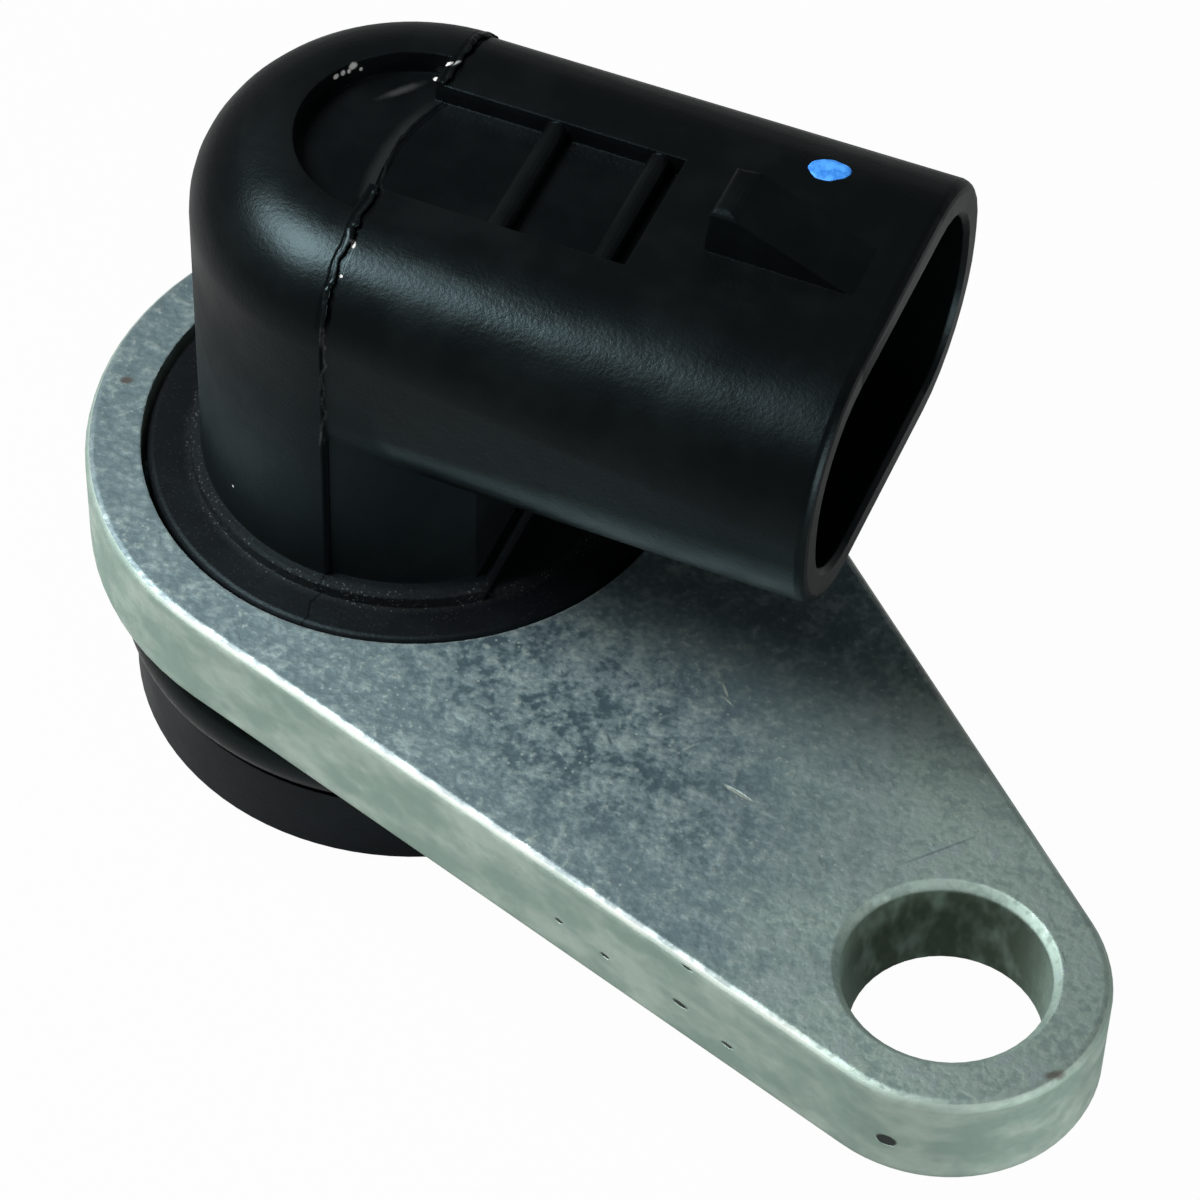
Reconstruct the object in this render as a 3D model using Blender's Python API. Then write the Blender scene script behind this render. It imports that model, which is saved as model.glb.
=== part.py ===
"""Camshaft position sensor with a right-angle connector and a teardrop mounting plate.

Frame: the origin is the centre of the sensing face, +Z runs up the sensor's axis,
and +X points out of the connector. Lengths are in metres.
"""
import math

import bmesh
import bpy
from mathutils import Vector

MM = 0.001

# fits and facets
CLEARANCE = 0.3 * MM          # between pieces that are moulded, pressed or soldered together
OVERLAP = 0.5 * MM            # how far joined or cutting shapes reach into each other
TINY = 0.001 * MM             # points closer than this are one point
EDGE_BREAK = 0.2 * MM         # bevel on turned and pressed edges
TURN_STEPS = 96               # facets in a full turn
HALF_TURN_STEPS = TURN_STEPS // 2
ARC_STEPS = 8                 # facets in a quarter of a large round
EDGE_STEPS = 3                # facets in a quarter of a small round edge
SMOOTH_ANGLE = math.radians(32)

# mounting bracket
PLATE_UNDERSIDE = 9.2 * MM    # above the sensing face
PLATE_THICKNESS = 5.26 * MM
PLATE_HEAD_RADIUS = 15.0 * MM
PLATE_LOBE_RADIUS = 6.87 * MM
PLATE_LOBE_REACH = 38.0 * MM
PLATE_EDGE_ROUND = 0.4 * MM
LOBE_ANGLE = math.radians(-29.9)
BOLT_HOLE_DIAMETER = 9.0 * MM # at the plate's top
BOLT_HOLE_INSET = 0.2 * MM    # from the lobe's centre toward the head
BOLT_HOLE_DRAFT = 0.3 * MM    # what its radius loses toward the underside
BOLT_HOLE_LEAN = 0.4 * MM     # how far its lower end lies off to the side
BOLT_HOLE_CHAMFER = 0.35 * MM

# housing: nose, neck and flange
NOSE_RADIUS = 13.2 * MM
LAND_HEIGHT = 4.0 * MM
SHOULDER_RADIUS = 13.0 * MM
NECK_RADIUS = 10.2 * MM
FLANGE_RADIUS = 12.17 * MM
FLANGE_THICKNESS = 2.2 * MM
FLANGE_SINK = 0.2 * MM        # below the plate's top
FLANGE_EDGE = 0.3 * MM

# housing: column and elbow
ELBOW_RADIUS = 9.7 * MM
COLUMN_STEP = 0.3 * MM        # the column's front half is smaller than the elbow by this
COLUMN_FRONT = 6.15 * MM
PLINTH_RADIUS = 10.2 * MM
PLINTH_FRONT = 6.75 * MM
PLINTH_HEIGHT = 0.7 * MM
PLINTH_EDGE = 0.15 * MM

# housing: connector shroud
SHROUD_AXIS = 27.05 * MM      # above the sensing face
SHROUD_LENGTH = 22.5 * MM
SHROUD_BAYS = 4               # facets along its length
ROOT_HEIGHT = 12.6 * MM
ROOT_CORNER = 4.15 * MM
MOUTH_WIDTH = 21.4 * MM
MOUTH_HEIGHT = 12.5 * MM
MOUTH_CORNER = 5.9 * MM
RIM_ROUND = 0.45 * MM
SHROUD_WALL = 1.6 * MM        # at the mouth
SOCKET_DEPTH = 13.0 * MM
SEAM_STEP = 0.15 * MM         # the elbow half stands proud of the shroud half

# housing: pocket, ribs and lock ramp on top
POCKET_DEPTH = 0.9 * MM
POCKET_ROUND_RADIUS = 5.1 * MM
POCKET_WIDTH = 6.9 * MM
POCKET_END = 11.3 * MM
POCKET_DRAFT = 0.12 * MM
POCKET_SHOULDER = -0.4 * MM   # x where the half disc meets the strip
RIB_PLACES = (5.33 * MM, 10.15 * MM)
RIB_WIDTH = 1.1 * MM
RIB_DROP = 0.1 * MM           # below the shroud's top
RAMP_START = 13.9 * MM
RAMP_LENGTH = 6.75 * MM
RAMP_HEIGHT = 2.45 * MM
RAMP_WIDTH = 3.0 * MM
RAMP_OFFSET = 0.2 * MM
RAMP_BACK_LEAN = 0.3 * MM
RAMP_CREST = 0.95 * MM
RAMP_EDGE = 0.3 * MM

# sealing ring
RING_SECTION = 2.6 * MM
RING_OUTSIDE_RADIUS = 13.8 * MM
RING_TURN_STEPS = 80
RING_SECTION_STEPS = 14

# nose cover and the space behind it
COVER_RADIUS = 10.4 * MM
COVER_THICKNESS = 1.0 * MM
CAVITY_RADIUS = 9.0 * MM
CAVITY_TOP = 11.0 * MM

# terminals
TERMINAL_PITCH = 5.0 * MM
TERMINAL_WIDTH = 1.5 * MM
TERMINAL_THICKNESS = 0.8 * MM
TERMINAL_RUN = -5.5 * MM      # x of the vertical run
TERMINAL_BEND = 1.6 * MM
TERMINAL_FOOT = 6.8 * MM
BLADE_LENGTH = 6.5 * MM
BLADE_TAPER = 1.0 * MM
BLADE_TIP = 0.5               # tip's share of the blade's section

# chip, its leads, the plate and the magnet
CHIP_LENGTH = 3.2 * MM
CHIP_WIDTH = 4.1 * MM
CHIP_HEIGHT = 1.5 * MM
LEAD_PITCH = 1.27 * MM
LEAD_WIDTH = 0.5 * MM
LEAD_THICKNESS = 0.4 * MM
LEAD_LEVEL = 0.5 * MM         # above the chip's underside
LEAD_FAN_START = 4.2 * MM
LEAD_FAN_END = 6.6 * MM
LEAD_TOP = 9.0 * MM
MAGNET_RADIUS = 3.5 * MM
MAGNET_LENGTH = 4.0 * MM
FIELD_PLATE_THICKNESS = 0.8 * MM
HOLDER_RISE = 1.2 * MM        # above the magnet's top

# capacitors
CAPACITOR_HEIGHT = 1.25 * MM
CAPACITOR_DEPTH = 0.8 * MM

# sizes that follow
PLATE_TOP = PLATE_UNDERSIDE + PLATE_THICKNESS
BOLT_HOLE_REACH = PLATE_LOBE_REACH - BOLT_HOLE_INSET
FLANGE_TOP = PLATE_TOP - FLANGE_SINK
FLANGE_UNDERSIDE = FLANGE_TOP - FLANGE_THICKNESS
COUNTERBORE_FLOOR = FLANGE_UNDERSIDE - CLEARANCE
SHOULDER_TOP = PLATE_UNDERSIDE - CLEARANCE
GROOVE_RADIUS = RING_OUTSIDE_RADIUS - RING_SECTION - CLEARANCE
GROOVE_TOP = LAND_HEIGHT + RING_SECTION + 2 * CLEARANCE
COVER_SEAT = COVER_THICKNESS + CLEARANCE
COLUMN_RADIUS = ELBOW_RADIUS - COLUMN_STEP
ROOT_WIDTH = 2 * (ELBOW_RADIUS - SEAM_STEP)
SHROUD_TOP = SHROUD_AXIS + ROOT_HEIGHT / 2
ELBOW_TOP = SHROUD_TOP + SEAM_STEP
SOCKET_FLOOR = SHROUD_LENGTH - SOCKET_DEPTH
POCKET_FLOOR = SHROUD_TOP - POCKET_DEPTH
CHIP_UNDERSIDE = COVER_SEAT
CHIP_TOP = CHIP_UNDERSIDE + CHIP_HEIGHT
FIELD_PLATE_UNDERSIDE = CHIP_TOP + CLEARANCE
MAGNET_UNDERSIDE = FIELD_PLATE_UNDERSIDE + FIELD_PLATE_THICKNESS + CLEARANCE
MAGNET_TOP = MAGNET_UNDERSIDE + MAGNET_LENGTH
HOLDER_TOP = MAGNET_TOP + HOLDER_RISE
TERMINAL_FRONT = TERMINAL_RUN + TERMINAL_THICKNESS / 2
LEAD_RUN = TERMINAL_FRONT + CLEARANCE + LEAD_THICKNESS / 2
HOLDER_BACK = LEAD_RUN + LEAD_THICKNESS / 2 + CLEARANCE

BLACK_PLASTIC = ((0.018, 0.019, 0.020), 0.5, 0.0)
CARRIER_PLASTIC = ((0.05, 0.05, 0.05), 0.6, 0.0)
CAST_ALUMINIUM = ((0.42, 0.44, 0.44), 0.55, 0.9)
BLACK_RUBBER = ((0.01, 0.011, 0.011), 0.35, 0.0)
TINNED_BRASS = ((0.75, 0.74, 0.70), 0.3, 1.0)
CHIP_RESIN = ((0.03, 0.03, 0.035), 0.5, 0.0)
MAGNET_METAL = ((0.35, 0.36, 0.38), 0.35, 1.0)
STEEL = ((0.5, 0.5, 0.5), 0.35, 1.0)
CAPACITOR_CERAMIC = ((0.45, 0.33, 0.22), 0.5, 0.0)


def add_piece(name, mesh_builder, finish=None):
    """Turn a bmesh into a named object with outward faces and its own material."""
    bmesh.ops.remove_doubles(mesh_builder, verts=mesh_builder.verts, dist=TINY)
    bmesh.ops.recalc_face_normals(mesh_builder, faces=mesh_builder.faces)
    mesh = bpy.data.meshes.new(name)
    mesh_builder.to_mesh(mesh)
    mesh_builder.free()
    piece = bpy.data.objects.new(name, mesh)
    bpy.context.collection.objects.link(piece)
    if finish:
        set_finish(piece, finish)
    return piece


def set_finish(piece, finish):
    """Give a piece one Principled material and smooth its round faces."""
    colour, roughness, metallic = finish
    material = bpy.data.materials.new(piece.name)
    material.use_nodes = True
    shader = material.node_tree.nodes["Principled BSDF"]
    shader.inputs["Base Color"].default_value = (*colour, 1.0)
    shader.inputs["Roughness"].default_value = roughness
    shader.inputs["Metallic"].default_value = metallic
    piece.data.materials.clear()
    piece.data.materials.append(material)
    piece.data.shade_smooth()
    piece.data.set_sharp_from_angle(angle=SMOOTH_ANGLE)


def combine(body, tool, operation):
    """Join, cut or intersect body with tool, and remove the tool."""
    modifier = body.modifiers.new(operation.title(), "BOOLEAN")
    modifier.operation = operation
    modifier.solver = "EXACT"
    modifier.object = tool
    depsgraph = bpy.context.evaluated_depsgraph_get()
    result = bpy.data.meshes.new_from_object(body.evaluated_get(depsgraph))
    body.modifiers.clear()
    builder = bmesh.new()
    builder.from_mesh(result)
    bmesh.ops.dissolve_degenerate(builder, edges=builder.edges, dist=TINY)
    builder.to_mesh(body.data)
    builder.free()
    bpy.data.meshes.remove(result)
    tool_mesh = tool.data
    bpy.data.objects.remove(tool)
    bpy.data.meshes.remove(tool_mesh)


def join(body, tool):
    combine(body, tool, "UNION")


def cut(body, tool):
    combine(body, tool, "DIFFERENCE")


def revolve(name, profile, centre=(0.0, 0.0), steps=TURN_STEPS, finish=None):
    """Spin a profile of (radius, height) points about a vertical axis."""
    builder = bmesh.new()
    points = [builder.verts.new((centre[0] + radius, centre[1], height))
              for radius, height in profile]
    edges = [builder.edges.new(pair) for pair in zip(points, points[1:])]
    if profile[0] != profile[-1] and profile[0][0] > 0:
        edges.append(builder.edges.new((points[-1], points[0])))
    bmesh.ops.spin(builder, geom=points + edges, cent=(*centre, 0.0), axis=(0, 0, 1),
                   angle=math.tau, steps=steps, use_merge=True, use_duplicate=False)
    return add_piece(name, builder, finish)


def extrude(name, outline, vector, finish=None):
    """Extrude a closed flat outline of 3-D points along a vector."""
    builder = bmesh.new()
    face = builder.faces.new([builder.verts.new(point) for point in outline])
    grown = bmesh.ops.extrude_face_region(builder, geom=[face])["geom"]
    moved = [item for item in grown if isinstance(item, bmesh.types.BMVert)]
    bmesh.ops.translate(builder, verts=moved, vec=vector)
    return add_piece(name, builder, finish)


def loft(name, rings, finish=None):
    """Skin a list of rings with equal point counts and close both ends."""
    builder = bmesh.new()
    loops = [[builder.verts.new(point) for point in ring] for ring in rings]
    count = len(loops[0])
    for lower, upper in zip(loops, loops[1:]):
        for i in range(count):
            j = (i + 1) % count
            builder.faces.new((lower[i], lower[j], upper[j], upper[i]))
    builder.faces.new(list(reversed(loops[0])))
    builder.faces.new(loops[-1])
    return add_piece(name, builder, finish)


def arc(centre, radius, start, end, steps=ARC_STEPS):
    """Points of an arc in a plane, both ends included."""
    return [(centre[0] + radius * math.cos(start + (end - start) * i / steps),
             centre[1] + radius * math.sin(start + (end - start) * i / steps))
            for i in range(steps + 1)]


def teardrop(offset, height):
    """The plate's outline, shrunk by offset, at a height."""
    spread = math.asin((PLATE_HEAD_RADIUS - PLATE_LOBE_RADIUS) / PLATE_LOBE_REACH)
    quarter = math.pi / 2
    lobe = arc((PLATE_LOBE_REACH, 0), PLATE_LOBE_RADIUS - offset, spread - quarter,
               quarter - spread, TURN_STEPS // 3)
    head = arc((0, 0), PLATE_HEAD_RADIUS - offset, quarter - spread,
               3 * quarter + spread, HALF_TURN_STEPS)
    turn = (math.cos(LOBE_ANGLE), math.sin(LOBE_ANGLE))
    return [Vector((x * turn[0] - y * turn[1], x * turn[1] + y * turn[0], height))
            for x, y in lobe + head]


def along_lobe(reach):
    return (reach * math.cos(LOBE_ANGLE), reach * math.sin(LOBE_ANGLE))


def round_box_section(x, width, height, corner):
    """An upright section with rounded corners, across the connector's axis."""
    quarter = math.pi / 2
    middle_y = width / 2 - corner
    middle_z = height / 2 - corner
    points = []
    for turn, (side_y, side_z) in enumerate(((1, 1), (-1, 1), (-1, -1), (1, -1))):
        centre = (side_y * middle_y, SHROUD_AXIS + side_z * middle_z)
        points += arc(centre, corner, turn * quarter, (turn + 1) * quarter)
    return [Vector((x, y, z)) for y, z in points]


def shroud_section(x, inset=0.0):
    """The shroud's outside section at x, between the seam and the mouth."""
    share = x / SHROUD_LENGTH
    width = ROOT_WIDTH + (MOUTH_WIDTH - ROOT_WIDTH) * share
    height = ROOT_HEIGHT + (MOUTH_HEIGHT - ROOT_HEIGHT) * share
    corner = ROOT_CORNER + (MOUTH_CORNER - ROOT_CORNER) * share
    return round_box_section(x, width - 2 * inset, height - 2 * inset, corner - inset)


def shroud_top(x):
    return SHROUD_AXIS + (ROOT_HEIGHT + (MOUTH_HEIGHT - ROOT_HEIGHT) * x / SHROUD_LENGTH) / 2


def flat_front_disc(radius, front, height):
    """A circle whose +X side is cut off flat."""
    start = math.acos(front / radius)
    points = arc((0, 0), radius, start, math.tau - start, HALF_TURN_STEPS)
    return [Vector((x, y, height)) for x, y in points]


def ribbon(path, width):
    """The outline of a flat strip of constant width along a path of 2-D points."""
    points = [Vector(point) for point in path]
    left = []
    right = []
    for i, point in enumerate(points):
        before = (point - points[i - 1]).normalized() if i else None
        after = (points[i + 1] - point).normalized() if i + 1 < len(points) else None
        before = before or after
        after = after or before
        mean = (before + after).normalized()
        side = Vector((-mean.y, mean.x)) * width / 2 / mean.dot(after)
        left.append(point + side)
        right.append(point - side)
    return left + right[::-1]


def upright(outline, y):
    return [Vector((x, y, z)) for x, z in outline]


def facing(outline, x):
    return [Vector((x, y, z)) for y, z in outline]


def build_bolt_hole():
    """The cast bolt hole: it narrows and leans toward the underside, and is worn open at both ends."""
    upper = BOLT_HOLE_DIAMETER / 2
    lower = upper - BOLT_HOLE_DRAFT
    flare = BOLT_HOLE_CHAMFER + OVERLAP
    centre = Vector(along_lobe(BOLT_HOLE_REACH))
    lean = Vector((-math.sin(LOBE_ANGLE), math.cos(LOBE_ANGLE))) * BOLT_HOLE_LEAN
    levels = ((centre + lean, lower + flare, PLATE_UNDERSIDE - OVERLAP),
              (centre + lean, lower, PLATE_UNDERSIDE + BOLT_HOLE_CHAMFER),
              (centre, upper, PLATE_TOP - BOLT_HOLE_CHAMFER),
              (centre, upper + flare, PLATE_TOP + OVERLAP))
    return loft("bolt_hole", [
        [Vector((x, y, height)) for x, y in arc(middle, radius, 0, math.tau, HALF_TURN_STEPS)[:-1]]
        for middle, radius, height in levels])


def build_bracket():
    """A cast teardrop plate with a stepped bore for the sensor and a bolt hole."""
    radius = PLATE_EDGE_ROUND
    edge = arc((radius, radius), radius, math.pi, 3 * math.pi / 2, EDGE_STEPS)
    rings = [teardrop(inset, PLATE_UNDERSIDE + rise) for inset, rise in reversed(edge)]
    rings += [teardrop(inset, PLATE_TOP - rise) for inset, rise in edge]
    bracket = loft("mounting_bracket", rings)
    below = PLATE_UNDERSIDE - OVERLAP
    above = PLATE_TOP + OVERLAP
    bore = NECK_RADIUS + CLEARANCE
    counterbore = FLANGE_RADIUS + CLEARANCE
    cut(bracket, revolve("bore", [
        (0, below), (bore, below), (bore, COUNTERBORE_FLOOR), (counterbore, COUNTERBORE_FLOOR),
        (counterbore, above), (0, above)]))
    cut(bracket, build_bolt_hole())
    set_finish(bracket, CAST_ALUMINIUM)


def build_nose_and_flange():
    """The turned lower half: nose with its groove, neck, flange and the open space inside."""
    quarter = math.pi / 2
    rim = arc((FLANGE_RADIUS - FLANGE_EDGE, FLANGE_TOP - FLANGE_EDGE), FLANGE_EDGE, 0, quarter,
              EDGE_STEPS)
    return revolve("sensor_housing", [
        (0, CAVITY_TOP), (CAVITY_RADIUS, CAVITY_TOP), (CAVITY_RADIUS, COVER_SEAT),
        (COVER_RADIUS + CLEARANCE, COVER_SEAT), (COVER_RADIUS + CLEARANCE, 0),
        (NOSE_RADIUS - EDGE_BREAK, 0), (NOSE_RADIUS, EDGE_BREAK), (NOSE_RADIUS, LAND_HEIGHT),
        (GROOVE_RADIUS, LAND_HEIGHT), (GROOVE_RADIUS, GROOVE_TOP), (SHOULDER_RADIUS, GROOVE_TOP),
        (SHOULDER_RADIUS, SHOULDER_TOP), (NECK_RADIUS, SHOULDER_TOP),
        (NECK_RADIUS, FLANGE_UNDERSIDE), (FLANGE_RADIUS, FLANGE_UNDERSIDE), *rim, (0, FLANGE_TOP)])


def build_column():
    """The column's front half and the plinth under it, both cut flat toward the connector."""
    plinth_top = FLANGE_TOP + PLINTH_HEIGHT
    foot = plinth_top - OVERLAP
    column = extrude("column", flat_front_disc(COLUMN_RADIUS, COLUMN_FRONT, foot),
                     (0, 0, SHROUD_AXIS - OVERLAP - foot))
    plinth = loft("plinth", [flat_front_disc(PLINTH_RADIUS, PLINTH_FRONT, FLANGE_TOP - OVERLAP),
                             flat_front_disc(PLINTH_RADIUS, PLINTH_FRONT, plinth_top - PLINTH_EDGE),
                             flat_front_disc(PLINTH_RADIUS - PLINTH_EDGE, PLINTH_FRONT - PLINTH_EDGE,
                                             plinth_top)])
    join(column, plinth)
    return column


def build_elbow():
    """The elbow's back half, a turned column with a rounded head, cut at the seam."""
    corner = ROOT_CORNER + SEAM_STEP
    head = arc((ELBOW_RADIUS - corner, ELBOW_TOP - corner), corner, 0, math.pi / 2, ARC_STEPS + 2)
    foot = FLANGE_TOP - 2 * OVERLAP
    elbow = revolve("elbow", [(0, foot), (ELBOW_RADIUS, foot), *head, (0, ELBOW_TOP)])
    reach = 2 * ELBOW_RADIUS
    front = [(0, -reach), (reach, -reach), (reach, reach), (0, reach)]
    cut(elbow, extrude("front_half", [Vector((x, y, 0)) for x, y in front], (0, 0, 2 * ELBOW_TOP)))
    return elbow


def build_shroud():
    """The connector's outside, from inside the elbow to the rounded rim of its mouth."""
    straight = SHROUD_LENGTH - RIM_ROUND
    rings = [shroud_section(-OVERLAP)]
    rings += [shroud_section(straight * (bay + 1) / SHROUD_BAYS) for bay in range(SHROUD_BAYS)]
    rim = arc((straight, RIM_ROUND), RIM_ROUND, -math.pi / 2, 0, EDGE_STEPS)
    rings += [shroud_section(x, inset) for x, inset in rim[1:]]
    return loft("shroud", rings)


def build_socket():
    """The hollow of the connector, with a softened edge at the mouth."""
    width = MOUTH_WIDTH - 2 * SHROUD_WALL
    height = MOUTH_HEIGHT - 2 * SHROUD_WALL
    corner = MOUTH_CORNER - SHROUD_WALL
    flare = RIM_ROUND / 2
    steps = ((SOCKET_FLOOR, 0), (SHROUD_LENGTH - flare, 0), (SHROUD_LENGTH + OVERLAP, flare + OVERLAP))
    return loft("socket", [round_box_section(x, width + 2 * grow, height + 2 * grow, corner + grow)
                           for x, grow in steps])


def pocket_outline(inset, height):
    """A half disc over the elbow that runs on as a strip along the shroud."""
    radius = POCKET_ROUND_RADIUS - inset
    half = POCKET_WIDTH / 2 - inset
    end = POCKET_END - inset
    quarter = math.pi / 2
    lean = math.asin(-POCKET_SHOULDER / radius)
    points = [(end, -half), (end, half), (POCKET_SHOULDER, half)]
    points += arc((0, 0), radius, quarter + lean, 3 * quarter - lean, 3 * ARC_STEPS)
    points.append((POCKET_SHOULDER, -half))
    return [Vector((x, y, height)) for x, y in points]


def build_pocket():
    rise = ELBOW_TOP + OVERLAP
    slope = POCKET_DRAFT * (rise - POCKET_FLOOR) / POCKET_DEPTH
    return loft("pocket", [pocket_outline(POCKET_DRAFT, POCKET_FLOOR),
                           pocket_outline(POCKET_DRAFT - slope, rise)])


def build_rib(place):
    """A round-topped rib across the pocket."""
    radius = RIB_WIDTH / 2
    crown = SHROUD_TOP - RIB_DROP - radius
    outline = arc((place, crown), radius, 0, math.pi)
    outline += [(place - radius, POCKET_FLOOR - OVERLAP), (place + radius, POCKET_FLOOR - OVERLAP)]
    half = POCKET_WIDTH / 2 + OVERLAP
    return extrude("rib", upright(outline, -half), (0, 2 * half, 0))


def build_ramp():
    """The wedge that the plug's latch snaps over, steep toward the elbow."""
    base = shroud_top(RAMP_START) - OVERLAP
    top = shroud_top(RAMP_START) + RAMP_HEIGHT
    back = RAMP_START + RAMP_BACK_LEAN
    crest_end = back + RAMP_CREST
    end = RAMP_START + RAMP_LENGTH
    slope = (end - crest_end) / RAMP_HEIGHT
    outline = [(RAMP_START, base), (end + OVERLAP * slope, base), (crest_end, top), (back, top)]
    side = RAMP_OFFSET - RAMP_WIDTH / 2
    ramp = extrude("ramp", upright(outline, side), (0, RAMP_WIDTH, 0))
    builder = bmesh.new()
    builder.from_mesh(ramp.data)
    crest = [edge for edge in builder.edges if min(vert.co.z for vert in edge.verts) > top - TINY]
    bmesh.ops.bevel(builder, geom=crest, offset=RAMP_EDGE, segments=EDGE_STEPS, profile=0.5,
                    affect="EDGES")
    builder.to_mesh(ramp.data)
    builder.free()
    return ramp


def terminal_path(start, end):
    """Up the column, round the bend and out along the socket's axis."""
    bend = arc((TERMINAL_RUN + TERMINAL_BEND, SHROUD_AXIS - TERMINAL_BEND), TERMINAL_BEND,
               math.pi, math.pi / 2, 6)
    return [(TERMINAL_RUN, start), *bend, (end, SHROUD_AXIS)]


def build_slot(y):
    """The space that the moulding leaves round one terminal."""
    width = TERMINAL_WIDTH + 2 * CLEARANCE
    outline = ribbon(terminal_path(CAVITY_TOP - OVERLAP, SOCKET_FLOOR + OVERLAP),
                     TERMINAL_THICKNESS + 2 * CLEARANCE)
    return extrude("slot", upright(outline, y - width / 2), (0, width, 0))


def build_terminal(name, y):
    """A stamped strip with a tapered blade."""
    tip = SOCKET_FLOOR + BLADE_LENGTH
    outline = ribbon(terminal_path(TERMINAL_FOOT, tip), TERMINAL_THICKNESS)
    half = TERMINAL_WIDTH / 2
    terminal = extrude(name, upright(outline, y - half), (0, TERMINAL_WIDTH, 0))
    taper_start = tip - BLADE_TAPER
    builder = bmesh.new()
    builder.from_mesh(terminal.data)
    bmesh.ops.bisect_plane(builder, geom=builder.verts[:] + builder.edges[:] + builder.faces[:],
                           plane_co=(taper_start, 0, 0), plane_no=(1, 0, 0))
    for vert in builder.verts:
        if vert.co.x > taper_start + BLADE_TAPER / 2:
            vert.co.y = y + (vert.co.y - y) * BLADE_TIP
            vert.co.z = SHROUD_AXIS + (vert.co.z - SHROUD_AXIS) * BLADE_TIP
    builder.to_mesh(terminal.data)
    builder.free()
    set_finish(terminal, TINNED_BRASS)


def build_housing():
    """The black moulding: everything that is one piece of plastic."""
    housing = build_nose_and_flange()
    join(housing, build_column())
    join(housing, build_elbow())
    join(housing, build_shroud())
    join(housing, build_ramp())
    cut(housing, build_socket())
    cut(housing, build_pocket())
    for place in RIB_PLACES:
        join(housing, build_rib(place))
    for step in (-1, 0, 1):
        cut(housing, build_slot(step * TERMINAL_PITCH))
    set_finish(housing, BLACK_PLASTIC)


def build_sealing_ring():
    """A round-section ring that lies in the nose's groove."""
    radius = RING_SECTION / 2
    centre = (RING_OUTSIDE_RADIUS - radius, LAND_HEIGHT + CLEARANCE + radius)
    section = arc(centre, radius, 0, math.tau, RING_SECTION_STEPS)
    revolve("sealing_ring", section[:-1], steps=RING_TURN_STEPS, finish=BLACK_RUBBER)


def build_nose_cover():
    """The flat disc that closes the nose."""
    revolve("nose_cover", [
        (0, 0), (COVER_RADIUS - EDGE_BREAK, 0), (COVER_RADIUS, EDGE_BREAK),
        (COVER_RADIUS, COVER_THICKNESS), (0, COVER_THICKNESS)],
        steps=HALF_TURN_STEPS, finish=CARRIER_PLASTIC)


def box_outline(x_low, x_high, y_low, y_high, z):
    corners = ((x_low, y_low), (x_high, y_low), (x_high, y_high), (x_low, y_high))
    return [Vector((x, y, z)) for x, y in corners]


def build_chip():
    """The chip lies flat behind the cover with its leads toward the column's back."""
    half_x = CHIP_LENGTH / 2
    half_y = CHIP_WIDTH / 2
    extrude("sensing_chip", box_outline(-half_x, half_x, -half_y, half_y, CHIP_UNDERSIDE),
            (0, 0, CHIP_HEIGHT), CHIP_RESIN)


def build_lead(name, step):
    """A lead leaves the chip, turns up behind the holder and fans out to its terminal."""
    level = CHIP_UNDERSIDE + LEAD_LEVEL
    near = step * LEAD_PITCH
    far = step * TERMINAL_PITCH
    bend = arc((LEAD_RUN + LEAD_THICKNESS, level + LEAD_THICKNESS), LEAD_THICKNESS,
               3 * math.pi / 2, math.pi, 4)
    foot = ribbon([(-CHIP_LENGTH / 2 - CLEARANCE, level), *bend, (LEAD_RUN, LEAD_FAN_START)],
                  LEAD_THICKNESS)
    lead = extrude(name, upright(foot, near - LEAD_WIDTH / 2), (0, LEAD_WIDTH, 0))
    fan = ribbon([(near, LEAD_FAN_START - OVERLAP), (near, LEAD_FAN_START), (far, LEAD_FAN_END),
                  (far, LEAD_TOP)], LEAD_WIDTH)
    join(lead, extrude("fan", facing(fan, LEAD_RUN - LEAD_THICKNESS / 2), (LEAD_THICKNESS, 0, 0)))
    set_finish(lead, TINNED_BRASS)


def build_magnet_and_plate():
    """The bias magnet stands on a thin disc that evens out its field over the chip."""
    plate_top = FIELD_PLATE_UNDERSIDE + FIELD_PLATE_THICKNESS
    revolve("field_plate", [
        (0, FIELD_PLATE_UNDERSIDE), (MAGNET_RADIUS, FIELD_PLATE_UNDERSIDE),
        (MAGNET_RADIUS, plate_top), (0, plate_top)], steps=HALF_TURN_STEPS, finish=STEEL)
    inner = MAGNET_RADIUS - EDGE_BREAK
    revolve("bias_magnet", [
        (0, MAGNET_UNDERSIDE), (inner, MAGNET_UNDERSIDE),
        (MAGNET_RADIUS, MAGNET_UNDERSIDE + EDGE_BREAK), (MAGNET_RADIUS, MAGNET_TOP - EDGE_BREAK),
        (inner, MAGNET_TOP), (0, MAGNET_TOP)], steps=HALF_TURN_STEPS, finish=MAGNET_METAL)


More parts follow.
